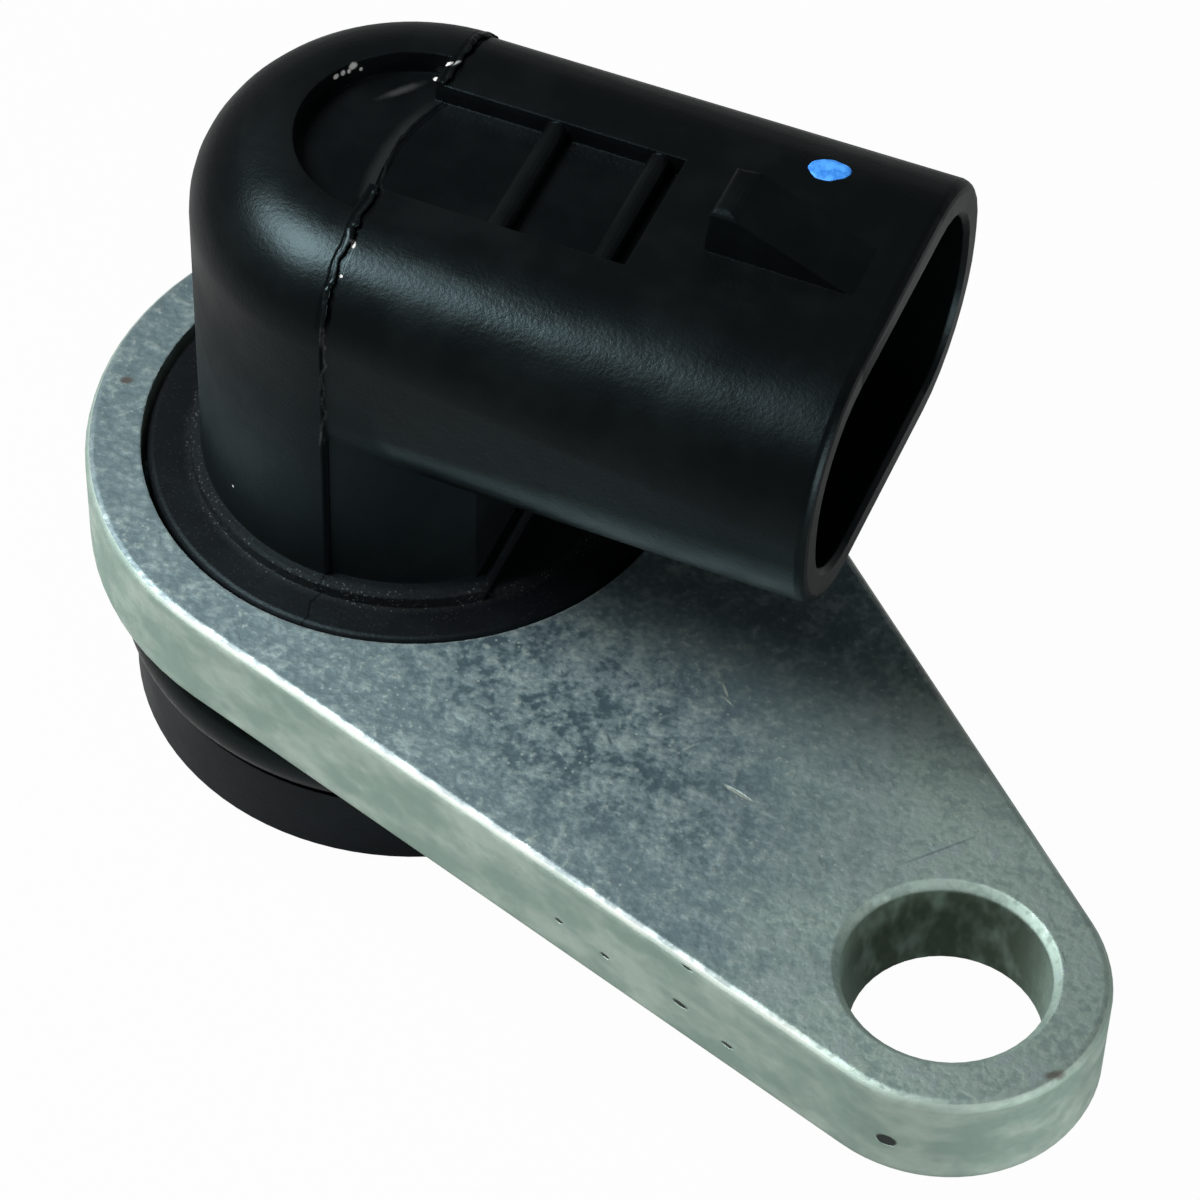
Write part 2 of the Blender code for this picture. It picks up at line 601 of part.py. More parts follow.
def build_holder():
    """A round block, flat at the back, bored for the magnet and open below for the chip."""
    radius = CAVITY_RADIUS - CLEARANCE
    start = math.acos(HOLDER_BACK / radius)
    outline = [Vector((x, y, COVER_SEAT))
               for x, y in arc((0, 0), radius, -start, start, HALF_TURN_STEPS)]
    holder = extrude("chip_holder", outline, (0, 0, HOLDER_TOP - COVER_SEAT))
    bore = MAGNET_RADIUS + CLEARANCE
    bore_floor = FIELD_PLATE_UNDERSIDE - CLEARANCE
    above = HOLDER_TOP + OVERLAP
    cut(holder, revolve("magnet_bore", [(0, bore_floor), (bore, bore_floor), (bore, above), (0, above)],
                        steps=HALF_TURN_STEPS))
    below = COVER_SEAT - OVERLAP
    half_x = CHIP_LENGTH / 2 + CLEARANCE
    half_y = CHIP_WIDTH / 2 + CLEARANCE
    cut(holder, extrude("window", box_outline(-half_x, half_x, -half_y, half_y, below),
                        (0, 0, bore_floor + OVERLAP - below)))
    half_y = LEAD_PITCH + LEAD_WIDTH / 2 + CLEARANCE
    slot_top = CHIP_UNDERSIDE + LEAD_LEVEL + LEAD_THICKNESS / 2 + CLEARANCE
    cut(holder, extrude("lead_slot", box_outline(HOLDER_BACK - OVERLAP, 0, -half_y, half_y, below),
                        (0, 0, slot_top - below)))
    set_finish(holder, CARRIER_PLASTIC)


def build_capacitor(name, side):
    """A chip capacitor between the middle terminal and the one at its side."""
    near = TERMINAL_WIDTH / 2 + CLEARANCE
    far = TERMINAL_PITCH - TERMINAL_WIDTH / 2 - CLEARANCE
    low, high = sorted((side * near, side * far))
    half = CAPACITOR_DEPTH / 2
    top = CAVITY_TOP - CLEARANCE
    outline = box_outline(TERMINAL_RUN - half, TERMINAL_RUN + half, low, high, top - CAPACITOR_HEIGHT)
    extrude(name, outline, (0, 0, CAPACITOR_HEIGHT), CAPACITOR_CERAMIC)


def main():
    for item in list(bpy.data.objects):
        bpy.data.objects.remove(item, do_unlink=True)
    build_bracket()
    build_housing()
    build_sealing_ring()
    build_nose_cover()
    build_terminal("terminal_supply", TERMINAL_PITCH)
    build_terminal("terminal_ground", 0.0)
    build_terminal("terminal_signal", -TERMINAL_PITCH)
    build_chip()
    build_lead("chip_lead_supply", 1)
    build_lead("chip_lead_ground", 0)
    build_lead("chip_lead_signal", -1)
    build_magnet_and_plate()
    build_holder()
    build_capacitor("supply_capacitor", 1)
    build_capacitor("signal_capacitor", -1)


main()
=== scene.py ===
"""Looks of the camshaft position sensor, laid out as a Blender add-on and run as a script.

The frame's solids keep their places. Welded copies of them are shaded smoothly, and the
sealing ring, the seam's flash and the paint mark are surfaces worked out from formulas.
All lengths are in metres, and patterns are laid out in millimetres on Object coordinates.
"""

import math

import bmesh
import bpy
import numpy as np
from bpy.props import FloatProperty, FloatVectorProperty, PointerProperty
from bpy.types import Operator, Panel, PropertyGroup
from mathutils import Matrix, Vector


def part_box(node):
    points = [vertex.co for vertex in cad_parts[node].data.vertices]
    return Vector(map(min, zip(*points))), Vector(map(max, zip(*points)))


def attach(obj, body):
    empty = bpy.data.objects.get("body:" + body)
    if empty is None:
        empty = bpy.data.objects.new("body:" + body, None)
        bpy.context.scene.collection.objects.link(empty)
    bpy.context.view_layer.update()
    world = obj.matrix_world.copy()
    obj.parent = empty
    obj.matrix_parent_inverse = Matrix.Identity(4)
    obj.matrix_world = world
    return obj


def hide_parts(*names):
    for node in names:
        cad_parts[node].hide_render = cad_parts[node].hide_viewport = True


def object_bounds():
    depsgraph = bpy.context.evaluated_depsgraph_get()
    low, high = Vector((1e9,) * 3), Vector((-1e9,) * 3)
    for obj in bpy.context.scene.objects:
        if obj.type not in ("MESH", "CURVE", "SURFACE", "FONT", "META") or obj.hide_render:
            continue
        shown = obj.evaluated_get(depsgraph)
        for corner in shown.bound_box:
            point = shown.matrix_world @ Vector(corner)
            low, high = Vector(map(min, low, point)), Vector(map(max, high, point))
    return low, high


bl_info = {
    "name": "Camshaft position sensor",
    "version": (1, 0, 0),
    "blender": (4, 5, 0),
    "location": "3D View > Sidebar > Sensor",
    "description": "Dresses the camshaft position sensor and sets up its studio",
    "category": "Object",
}

MM = 0.001
TEAL_GLOSS = (0.62, 0.92, 1.0)

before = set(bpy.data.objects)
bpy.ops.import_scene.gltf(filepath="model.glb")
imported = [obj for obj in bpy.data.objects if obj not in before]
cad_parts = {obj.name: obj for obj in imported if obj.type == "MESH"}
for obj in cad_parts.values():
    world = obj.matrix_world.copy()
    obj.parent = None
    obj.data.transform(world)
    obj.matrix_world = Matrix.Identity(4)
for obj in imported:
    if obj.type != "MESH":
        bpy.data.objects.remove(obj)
CAD_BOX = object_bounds()
RING_LOW, RING_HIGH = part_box("sealing_ring")
HOUSING_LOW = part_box("sensor_housing")[0]

# where the forms lie on the part, from its own sizes; a pair is at the elbow and at the mouth
SEAM_TOP = 33.5 * MM
SEAM_SIDE = 0.01 * MM  # how far past the seam the elbow's shoulder still counts
RING_SQUEEZE = 0.36 * MM  # how much taller the groove squeezes the ring's section
RING_FULLNESS = 0.92  # power of the section's sine, which is one for an ellipse
FLASH_FOOT = 30.4 * MM  # where the flash on the column's sides begins
FLASH_SUNK = 0.06 * MM  # how far the flash reaches into the moulding
FLASH_TAPER = 0.4 * MM  # length over which the flash fades at its ends
FLASH_KNOTS = (1.1, 5.0, 2.2)  # to the millimetre, in its swelling, raggedness and wandering
POCKET_FLASH = (0.7, 0.6)  # width and height of the pocket's flash, as shares of the shoulder's
POCKET_HALF = 3.5 * MM
POCKET_FLOOR = 32.45 * MM
SHROUD_LENGTH = 22.5 * MM
SHROUD_HALF = (9.55 * MM, 10.7 * MM)
SHROUD_CORNER = (4.15 * MM, 5.9 * MM)
SHROUD_TOP = (33.35 * MM, 33.3 * MM)
SHROUD_AXIS = 27.05 * MM
SHROUD_HEIGHT = (6.3 * MM, 6.25 * MM)
SOCKET_HALF = (9.1 * MM, 9.1 * MM)
SOCKET_HEIGHT = (4.65 * MM, 4.65 * MM)
SOCKET_CORNER = (4.3 * MM, 4.3 * MM)
ELBOW_RADIUS = 9.7 * MM
ELBOW_CORNER = 4.3 * MM
RIB_PLACES = (5.33 * MM, 10.15 * MM)
RIB_RADIUS = 0.55 * MM
RIB_CROWN = 32.7 * MM
LOBE_CENTRE = (32.943 * MM, -18.943 * MM)
HOLE_CENTRE = (32.77 * MM, -18.843 * MM)
ROUND_LIMIT = math.radians(17)  # a round's direction further off a facet's own isn't used
ROUND_FIT = 0.03 * MM  # how far off its round a corner of a turned wall or a rib may lie
SHOULDER_FIT = 0.04 * MM
BOX_REACH = 0.6 * MM  # how far off its section a corner of the plug socket may lie
SIDEWAYS_LIMIT = 0.12  # sine by which a turned wall's facet may face past its axis
WELD = 0.001 * MM  # points closer than this are one point
TINY = 1e-9  # keeps a length from being nothing in a division
TINY_AREA = 1e-15  # the same for a facet, in square metres
PAINT_PLACE = (17.1 * MM, 5.42 * MM)
PAINT_TURN = math.radians(22.6)
PAINT_SUNK = 0.05 * MM  # how far the paint reaches under the plastic's surface
PAINT_RAGGED = 0.09  # share by which its outline wanders
RING_TURN_STEPS, RING_SECTION_STEPS = 288, 40
SEAM_STEPS, POCKET_STEPS, FLASH_SECTION_STEPS = 900, 240, 14
PAINT_TOP_STEPS, PAINT_UNDER_STEPS, PAINT_TURN_STEPS = 22, 12, 96
FLASH_SIDES = (("flash_near", 1.0, 11), ("flash_far", -1.0, 23))  # name, side of the seam, seed
POCKET_SEED, PAINT_SEED = 31, 5
PLATE_TOP = 14.46  # in millimetres, as the materials' places are
PLINTH_EDGE = 10.1  # radius in millimetres

# marks in the materials, in millimetres: middle, half widths, share of full strength, turn about
# the vertical in radians, raggedness of the edge
# white flecks of stressed plastic; those on the seam, near x = 0, are painted glints of the glossy
# flash
FLECKS_AND_GLINTS = (
    ((-4.58, 2.19, 33.22), (0.15, 0.2, 0.16), 0.5, -0.6, 0.3),
    ((-4.40, 2.53, 33.2), (0.12, 0.15, 0.18), 0.5, -0.6, 0.3),
    ((-4.24, 2.79, 33.16), (0.12, 0.13, 0.16), 0.5, 0.0, 0.3),
    ((-4.13, 2.98, 33.33), (0.14, 0.27, 0.22), 0.5, -0.7, 0.3),
    ((-3.87, 3.24, 33.03), (0.1, 0.12, 0.12), 0.5, 0.0, 0.3),
    ((-0.88, 4.55, 32.5), (0.16, 0.16, 0.22), 0.5, 0.0, 0.3),
    ((-0.33, 4.62, 33.5), (0.3, 0.12, 0.12), 0.5, 0.9, 0.3),
    ((0.3, -6.73, 33.11), (0.12, 0.26, 0.2), 0.5, 0.3, 0.3),
    ((0.3, -8.03, 32.39), (0.09, 0.09, 0.08), 0.5, 0.0, 0.3),
    ((19.2, 1.25, 33.3), (0.05, 0.26, 0.3), 0.5, -0.5, 0.3),
    ((-5.16, -8.21, 17.05), (0.09, 0.09, 0.09), 0.5, 0.0, 0.3),
)
# pale spots on the flash: stress whitening, and painted glints where highlights fall
FLASH_GLINTS_AND_WHITENING = (
    ((-0.1, 4.75, 33.5), (0.4, 0.14, 0.3), 0.3, 0.9, 0.3),
    ((0.1, -6.75, 33.1), (0.3, 0.16, 0.3), 0.3, 0.0, 0.3),
    ((0.1, -8.4, 32.1), (0.3, 0.1, 0.12), 0.3, 0.0, 0.3),
)
# a painted reflection: the pale glossy streak at the foot of the pocket's far wall
POCKET_SHEEN_STREAK = ((-1.95, 3.3, 32.45), (1.5, 0.3, 0.3), 0.0, 0.9, 0.5)
MOTTLED_ZONE = ((12.0, -11.0, PLATE_TOP), (22.0, 11.0, 3.0), 0.1, -0.5)
LONG_MARK = ((21.24, -13.51, PLATE_TOP), (0.95, 0.14, 0.3), 0.5, -0.25, 0.3)
NICKS = (
    ((18.6, -8.35, PLATE_TOP), (0.55, 0.08, 0.3), 0.4, -0.9, 0.4),
    ((18.95, -8.9, PLATE_TOP), (0.4, 0.07, 0.3), 0.4, -0.5, 0.4),
    ((30.75, -8.7, PLATE_TOP), (0.3, 0.1, 0.3), 0.4, -0.5, 0.3),
)
SCRATCH = ((30.3, -12.95, PLATE_TOP), (2.6, 0.09, 0.3), 0.3, 0.84, 0.5)
STAINS = (
    ((-13.51, -2.12, PLATE_TOP), (0.42, 0.3, 0.3), 0.4, 0.4, 0.5),
    ((38.7, -22.1, 14.4), (0.75, 0.3, 0.4), 0.3, 0.6, 0.7),
    ((32.1, -20.5, 14.4), (0.4, 0.2, 0.2), 0.2),
)
PITS = (
    ((32.86, -25.81, 11.31), (0.52, 0.4, 0.37), 0.75, 0.0, 0.15),
    ((16.01, -20.8, 11.41), (0.32, 0.4, 0.14), 0.5, 0.0, 0.9),
    ((18.48, -21.57, 11.18), (0.3, 0.4, 0.14), 0.5, 0.0, 0.9),
    ((22.45, -22.83, 11.42), (0.5, 0.4, 0.2), 0.5, 0.0, 0.9),
    ((24.91, -23.61, 10.84), (0.36, 0.4, 0.14), 0.5, 0.0, 0.9),
    ((22.66, -22.86, 14.15), (0.35, 0.3, 0.07), 0.5, 0.0, 0.4),
)

# name, colour, how much paler in places, roughness, metallic, clouds to the millimetre, nodes
INNER_FINISHES = (
    ("carrier_moulding", "carrier", 0.03, 0.55, 0.0, 1.0, ("nose_cover", "chip_holder")),
    ("tinned_strip", "tin", 0.3, 0.28, 1.0, 2.0, (
        "terminal_supply", "terminal_ground", "terminal_signal",
        "chip_lead_supply", "chip_lead_ground", "chip_lead_signal")),
    ("plain_steel", "steel", 0.25, 0.32, 1.0, 1.0, ("field_plate", "bias_magnet")),
    ("chip_body", "resin", 0.02, 0.5, 0.0, 2.0, ("sensing_chip",)),
    ("fired_body", "ceramic", 0.2, 0.5, 0.0, 3.0, ("supply_capacitor", "signal_capacitor")),
)

# the studio: shares of white in gloss and glass, and the world's light low down and overhead
FLOOR_GLOSS_SHARE = 0.12
WORLD_GLOSS_SHARE = 0.02
WORLD_HORIZON = 0.2
WORLD_ZENITH = 0.08
WORLD_CLIMB = (0.06, 0.35)  # a direction's upward part where the one ends and the other begins
FLOOR_WHITE_SHARE = 0.98  # the rest of the floor takes the shadow
FLOOR_HALF_WIDTH = 1.5
FLOOR_DROP = 0.02 * MM  # below the part's foot

# name, direction from the part, distance, width, height, power, colour
LIGHTS = (
    ("key_softbox", (-0.55, -0.21, 0.81), 0.15, 0.07, 0.06, 0.34, (1.0, 1.0, 1.0)),
    ("side_softbox", (0.9, -0.4, 0.08), 0.30, 0.25, 0.08, 0.42, (1.0, 1.0, 1.0)),
)

CAMERA_PLACE = (65.0437 * MM, -144.1785 * MM, 185.1186 * MM)
CAMERA_RIGHT = (0.92296272, 0.38422997, 0.02252012)
CAMERA_DOWN = (0.30371999, -0.69113093, -0.65581415)
CAMERA_LENS = 152.762
CAMERA_SENSOR = 36.0
CAMERA_RANGE = (0.01, 10.0)


# sizes and colours that a user would change


def length_property(label, words, default, low=0.0):
    return FloatProperty(name=label, description=words, default=default, min=low,
                         subtype="DISTANCE", unit="LENGTH")


class SensorSizes(PropertyGroup):
    """Sizes of the pieces that are added to the frame."""

    edge_softness: length_property(
        "Edge softness", "Radius that moulded edges seem rounded by", 0.12 * MM)
    plate_edge_softness: length_property(
        "Plate edge softness", "Radius that the casting's edges seem worn by", 0.16 * MM)
    ring_radius: length_property("Ring radius", "Outside radius of the sealing ring", RING_HIGH.x)
    ring_height: length_property(
        "Ring height", "Height of the squeezed ring's section",
        RING_HIGH.z - RING_LOW.z + RING_SQUEEZE)
    elbow_radius: length_property(
        "Elbow radius", "Radius of the elbow where the seam's flash runs", ELBOW_RADIUS)
    elbow_corner: length_property(
        "Elbow corner", "Radius of the elbow's rounded shoulder", ELBOW_CORNER)
    flash_width: length_property("Flash width", "Width of the flash along the seam", 0.4 * MM)
    flash_height: length_property("Flash height", "How far the flash stands proud", 0.13 * MM)
    flash_bow: length_property(
        "Flash bow", "How far the flash in the pocket bows; the elbow's side is negative",
        -0.75 * MM, low=-2.0 * MM)
    paint_length: length_property("Paint length", "Longer width of the paint mark", 1.92 * MM)
    paint_width: length_property("Paint width", "Shorter width of the paint mark", 1.38 * MM)
    paint_thickness: length_property("Paint thickness", "Thickness of the paint mark", 0.05 * MM)


def colour_property(label, words, default):
    return FloatVectorProperty(name=label, description=words, subtype="COLOR", size=3,
                               min=0.0, max=1.0, default=default)


class SensorColours(PropertyGroup):
    """Base colours of the finishes, as linear light."""

    plastic: colour_property("Plastic", "Black moulding", (0.0020, 0.0026, 0.0028))
    plastic_pale: colour_property("Rubbed plastic", "Moulding where it is rubbed",
                                  (0.006, 0.0075, 0.0078))
    flange: colour_property("Flange", "Bluish black of the flange", (0.0036, 0.0040, 0.0054))
    # the seam's colour is also painted shade on the pocket's floor and in a band along the flash
    seam: colour_property("Seam", "Shaded bottom of the pocket and the seam",
                          (0.0006, 0.0006, 0.0008))
    # pale marks: dust and stress marks, and the colour of the painted sheen in the pocket, the
    # painted glints on the flash and the painted highlight on the seam's hairline
    pale_marks: colour_property("Dust", "Flecks and stress marks", (0.40, 0.43, 0.43))
    # white flecks, and painted glints on the seam's flash
    fleck_and_glint: colour_property("Fleck", "White flecks of stressed plastic", (0.85, 0.85, 0.82))
    rubber: colour_property("Rubber", "Sealing ring", (0.004, 0.006, 0.0045))
    metal_dark: colour_property("Dark metal", "Stained patches of the casting",
                                (0.066, 0.11, 0.13))
    metal: colour_property("Metal", "Top of the casting", (0.21, 0.295, 0.315))
    metal_toward_hole: colour_property("Dry metal", "Greener, paler top near the bolt hole",
                               (0.40, 0.525, 0.47))
    metal_pale: colour_property("Pale metal", "Tumbled high spots of the casting",
                                (0.42, 0.54, 0.54))
    metal_side: colour_property("Side metal", "Smoother sides of the casting",
                                (0.46, 0.62, 0.54))
    metal_side_pale: colour_property("Pale side metal", "Paler patches of the casting's sides",
                                     (0.70, 0.84, 0.75))
    # rubbed edges, whitened further as a painted highlight
    metal_worn_highlight: colour_property("Worn metal", "Rubbed edges of the casting", (0.86, 0.84, 0.79))
    # the bolt hole's wall: a stain, and painted shade where it stays darkest, on the far side
    hole_metal: colour_property("Hole metal", "Stained wall of the bolt hole",
                                (0.105, 0.145, 0.105))
    stain: colour_property("Stain", "Brown stains on the casting", (0.11, 0.07, 0.05))
    pit: colour_property("Pit", "Bottoms of the casting's pits", (0.035, 0.037, 0.04))
    paint: colour_property("Paint", "Blue paint mark", (0.040, 0.29, 0.95))
    tin: colour_property("Tin", "Tinned terminals", (0.74, 0.73, 0.69))
    steel: colour_property("Steel", "Magnet and disc", (0.42, 0.43, 0.45))
    carrier: colour_property("Carrier", "Holder and nose cover", (0.018, 0.018, 0.019))
    resin: colour_property("Resin", "Chip body", (0.022, 0.022, 0.025))
    ceramic: colour_property("Ceramic", "Capacitor bodies", (0.42, 0.31, 0.20))
    floor: colour_property("Floor", "Pale floor", (0.24, 0.24, 0.24))


# node materials


class Nodes:
    """The arithmetic that the materials and the world are put together from."""

    def __init__(self, tree):
        self.tree = tree

    def add(self, kind, **settings):
        node = self.tree.nodes.new(kind)
        for name, value in settings.items():
            setattr(node, name, value)
        return node

    def feed(self, socket, value):
        """Link an output to the socket, or set the socket to a value."""
        if isinstance(value, bpy.types.NodeSocket):
            self.tree.links.new(value, socket)
        elif hasattr(value, "__len__") and len(value) == 3 and socket.type == "RGBA":
            socket.default_value = (*value, 1.0)
        else:
            socket.default_value = value

    def fed(self, kind, inputs, output=0, **settings):
        """The output of a new node whose inputs are fed."""
        node = self.add(kind, **settings)
        for socket, value in inputs.items():
            self.feed(node.inputs[socket], value)
        return node.outputs[output]

    def vector(self, operation, first, second=(0.0, 0.0, 0.0)):
        output = "Value" if operation in ("LENGTH", "DOT_PRODUCT") else "Vector"
        return self.fed("ShaderNodeVectorMath", {0: first, 1: second}, output, operation=operation)

    def math(self, operation, first, second=0.0):
        return self.fed("ShaderNodeMath", {0: first, 1: second}, operation=operation)

    def plus(self, first, second):
        return self.math("ADD", first, second)

    def minus(self, first, second):
        return self.math("SUBTRACT", first, second)

    def times(self, first, second):
        return self.math("MULTIPLY", first, second)

    def size_of(self, value):
        return self.math("ABSOLUTE", value)

    def most(self, *values):
        """The largest of several masks."""
        total = values[0]
        for value in values[1:]:
            total = self.math("MAXIMUM", total, value)
        return total

    def part(self, vector, axis):
        return self.fed("ShaderNodeSeparateXYZ", {0: vector}, axis)

    def step(self, value, low, high, start=0.0, end=1.0):
        """A smooth step of value from start at low to end at high."""
        return self.fed("ShaderNodeMapRange", {
            "Value": value, "From Min": low, "From Max": high, "To Min": start, "To Max": end},
            "Result", interpolation_type="SMOOTHSTEP")

    def band(self, value, rise, full, fade, gone):
        """One where value lies between full and fade, and nothing below rise and above gone."""
        return self.times(self.step(value, gone, fade), self.step(value, rise, full))

    def blend(self, factor, first, second):
        """The first colour, and the second as far as factor is one."""
        return self.fed("ShaderNodeMix", {0: factor, 6: first, 7: second}, 2, data_type="RGBA")


class Finish(Nodes):
    """A material while it is put together. Patterns are laid out in millimetres."""

    def __init__(self, name):
        self.material = bpy.data.materials.new(name)
        self.material.use_nodes = True
        super().__init__(self.material.node_tree)
        self.shader = self.tree.nodes["Principled BSDF"]
        self.coordinates = self.add("ShaderNodeTexCoord")
        self.place = self.fed("ShaderNodeVectorMath", {
            0: self.coordinates.outputs["Object"], "Scale": 1 / MM}, operation="SCALE")
        self.ragged_edge = None

    def laid(self, stretch, turn=0.0):
        """Millimetre coordinates, turned about the vertical and then stretched."""
        return self.fed("ShaderNodeMapping", {
            "Vector": self.place, "Rotation": (0.0, 0.0, turn), "Scale": stretch},
            vector_type="TEXTURE")

    def noise(self, per_mm, detail=3.0, roughness=0.55, where=None):
        """Soft clouds, per_mm of them to the millimetre."""
        return self.fed("ShaderNodeTexNoise", {
            "Vector": self.place if where is None else where, "Scale": per_mm,
            "Detail": detail, "Roughness": roughness})

    def cells(self, per_mm):
        """Distance from scattered points, per_mm of them to the millimetre."""
        return self.fed("ShaderNodeTexVoronoi", {"Vector": self.place, "Scale": per_mm}, "Distance")

    def spot(self, centre, size, core=0.5, turn=0.0, ragged=0.0):
        """One in an ellipsoid of half widths size round centre, fading from core to its edge."""
        away = self.vector("SUBTRACT", self.place, centre)
        if turn:
            away = self.fed("ShaderNodeVectorRotate", {"Vector": away, "Angle": -turn},
                            rotation_type="Z_AXIS")
        reach = self.vector("LENGTH", self.vector("DIVIDE", away, size))
        if ragged:
            if self.ragged_edge is None:
                self.ragged_edge = self.minus(self.noise(3.0), 0.5)
            reach = self.plus(reach, self.times(self.ragged_edge, ragged))
        return self.step(reach, core, 1.0, 1.0, 0.0)

    def spots(self, marks):
        return self.most(*(self.spot(*mark) for mark in marks))

    def upright(self, normal=None):
        """How far a normal, at first the surface's own, points up as the piece itself sees it."""
        if normal is None:
            return self.part(self.coordinates.outputs["Normal"], "Z")
        turned = self.fed("ShaderNodeVectorTransform", {0: normal}, vector_type="NORMAL",
                          convert_from="WORLD", convert_to="OBJECT")
        return self.part(turned, "Z")

    def soft_edges(self, radius, samples):
        """The surface's direction with its edges rounded by radius."""
        return self.fed("ShaderNodeBevel", {"Radius": radius}, samples=samples)

    def edge_mask(self, rounded, low, high):
        """One on edges, where the rounded normal leaves the true one."""
        true = self.add("ShaderNodeNewGeometry").outputs["True Normal"]
        return self.step(self.vector("DOT_PRODUCT", rounded, true), high, low)

    def bump(self, height, depth, under=None):
        """The direction of a surface that is raised by height times depth."""
        inputs = {"Height": height, "Distance": depth}
        if under is not None:
            inputs["Normal"] = under
        return self.fed("ShaderNodeBump", inputs)

    def finish(self, colour, roughness, normal=None, metallic=0.0, specular=0.5, tint=None):
        inputs = {"Base Color": colour, "Roughness": roughness, "Metallic": metallic,
                  "Specular IOR Level": specular, "Specular Tint": tint, "Normal": normal}
        for name, value in inputs.items():
            if value is not None:
                self.feed(self.shader.inputs[name], value)
        return self.material


def black_plastic(sizes, colours):
    """Moulded black plastic: spark-worn grain, faint flow, rubbed edges, flecks, and the seam, with
    painted shade in the pocket and painted glints, sheen and highlights.
    """
    made = Finish("black_plastic")
    grain = made.noise(5.0, 3.0, 0.6)
    flow = made.noise(0.35, 2.0, 0.6)
    across, along, height = (made.part(made.place, axis) for axis in "XYZ")
    off_middle = made.size_of(along)
    from_axis = made.vector("LENGTH", made.vector("MULTIPLY", made.place, (1.0, 1.0, 0.0)))
    rounded = made.soft_edges(sizes.edge_softness, 2)

    # the ground colour: bluer on the flange, clouded, rubbed at edges, and darker in the pocket as
    # painted shade
    on_flange = made.step(height, 15.2, 14.8)
    colour = made.blend(on_flange, colours.plastic, colours.flange)
    colour = made.blend(made.step(flow, 0.4, 0.75, 0.0, 0.3), colour, colours.plastic_pale)
    rubbed = made.times(made.edge_mask(rounded, 0.9, 0.99),
                        made.step(made.noise(0.9, 4.0), 0.45, 0.7))
    colour = made.blend(made.times(rubbed, 0.25), colour, colours.plastic_pale)
    pocket_shade = made.band(height, 32.0, 32.3, 32.9, 33.1)
    colour = made.blend(made.times(pocket_shade, 0.4), colour, colours.seam)

    # dust on the flange and round the plinth, a painted reflection streak in the pocket, and the
    # pale flecks, some of them painted glints
    near_plinth = made.step(made.size_of(made.minus(from_axis, PLINTH_EDGE)), 0.55, 0.15)
    pale_marks = made.times(made.step(made.cells(5.0), 0.28, 0.14),
                      made.band(height, 14.0, 14.2, 14.9, 15.1))
    pale_marks = made.times(pale_marks, made.most(near_plinth, 0.15))
    pale_marks = made.times(pale_marks, made.step(made.noise(0.9, 3.0), 0.36, 0.5))
    # rub is a painted reflection: a paler, glossier streak in the pocket
    rub = made.spot(*POCKET_SHEEN_STREAK)
    ring = made.times(near_plinth, made.step(made.noise(6.0, 2.0), 0.35, 0.6, 0.3, 1.0))
    colour = made.blend(made.times(ring, on_flange), colour, paler(colours.plastic_pale, 0.004))
    colour = made.blend(made.most(made.times(pale_marks, 0.14), made.times(rub, 0.07)),
                        colour, colours.pale_marks)
    # pale flecks, and painted glints along the seam
    colour = made.blend(made.times(made.spots(FLECKS_AND_GLINTS), 0.9), colour, colours.fleck_and_glint)

    # the seam across the pocket's floor bows toward the elbow, with a painted sheen, a paler
    # reflection, on the elbow's side
    wander = made.times(made.minus(made.noise(0.8, 2.0), 0.53), 0.9)
    bow = made.plus(made.plus(made.times(made.times(along, along), 0.047),
                              made.times(along, 0.06)), -0.62)
    past_seam = made.plus(made.minus(across, bow), made.times(wander, 0.15))
    on_floor = made.times(made.band(height, 32.3, 32.4, 32.5, 32.6),
                          made.step(off_middle, 3.6, 3.5))
    pocket_seam = made.times(made.step(made.size_of(past_seam), 0.15, 0.08), on_floor)
    painted_sheen = made.times(made.band(past_seam, -0.85, -0.3, -0.2, -0.1),
                      made.times(on_floor, made.step(along, 4.2, 1.0)))
    colour = made.blend(painted_sheen, colour, paler(colours.plastic_pale, 0.006))

    # the seam down the side: a pale hairline that is a painted highlight on the step's shaded face,
    # a groove below it and a crack over the flange
    crooked = made.size_of(made.plus(across, wander))
    hairline_highlight = made.times(made.step(crooked, 0.09, 0.04),
                          made.band(height, 23.2, 23.6, 30.4, 30.8))
    hairline_highlight = made.times(hairline_highlight, made.step(grain, 0.4, 0.6, 0.3, 1.0))
    colour = made.blend(made.times(hairline_highlight, 0.13), colour, colours.pale_marks)
    straight = made.size_of(made.minus(across, 0.05))
    groove = made.times(made.step(straight, 0.13, 0.08),
                        made.band(height, 14.8, 15.1, 23.4, 23.6))
    crack = made.times(made.step(crooked, 0.05, 0.02), made.band(height, 13.9, 14.1, 14.9, 15.2))
    # painted shade: a dark band along the top beside the flash, carried into the seam's dark colour
    # below
    shade = made.step(made.size_of(made.plus(across, made.times(wander, 0.4))), 0.34, 0.2)
    shade = made.times(made.times(shade, made.step(height, 30.2, 30.8)),
                       made.step(off_middle, 3.4, 3.6))
    seam = made.most(groove, crack, pocket_seam, made.times(shade, 0.5))
    colour = made.blend(made.times(seam, 0.85), colour, colours.seam)

    relief = made.plus(made.times(grain, 1.1), made.times(flow, 2.5))
    relief = made.minus(relief, made.times(seam, 5.0))
    normal = made.bump(relief, 0.012 * MM, rounded)
    on_column = made.times(made.step(height, 29.0, 25.0), made.step(from_axis, 10.2, 9.9))
    roughness = made.step(flow, 0.3, 0.7, 0.29, 0.36)
    roughness = made.plus(roughness, made.times(on_flange, 0.06))
    roughness = made.plus(roughness, made.times(on_column, 0.2))
    roughness = made.minus(roughness, made.times(rub, 0.15))
    return made.finish(colour, roughness, normal, specular=0.21, tint=TEAL_GLOSS)


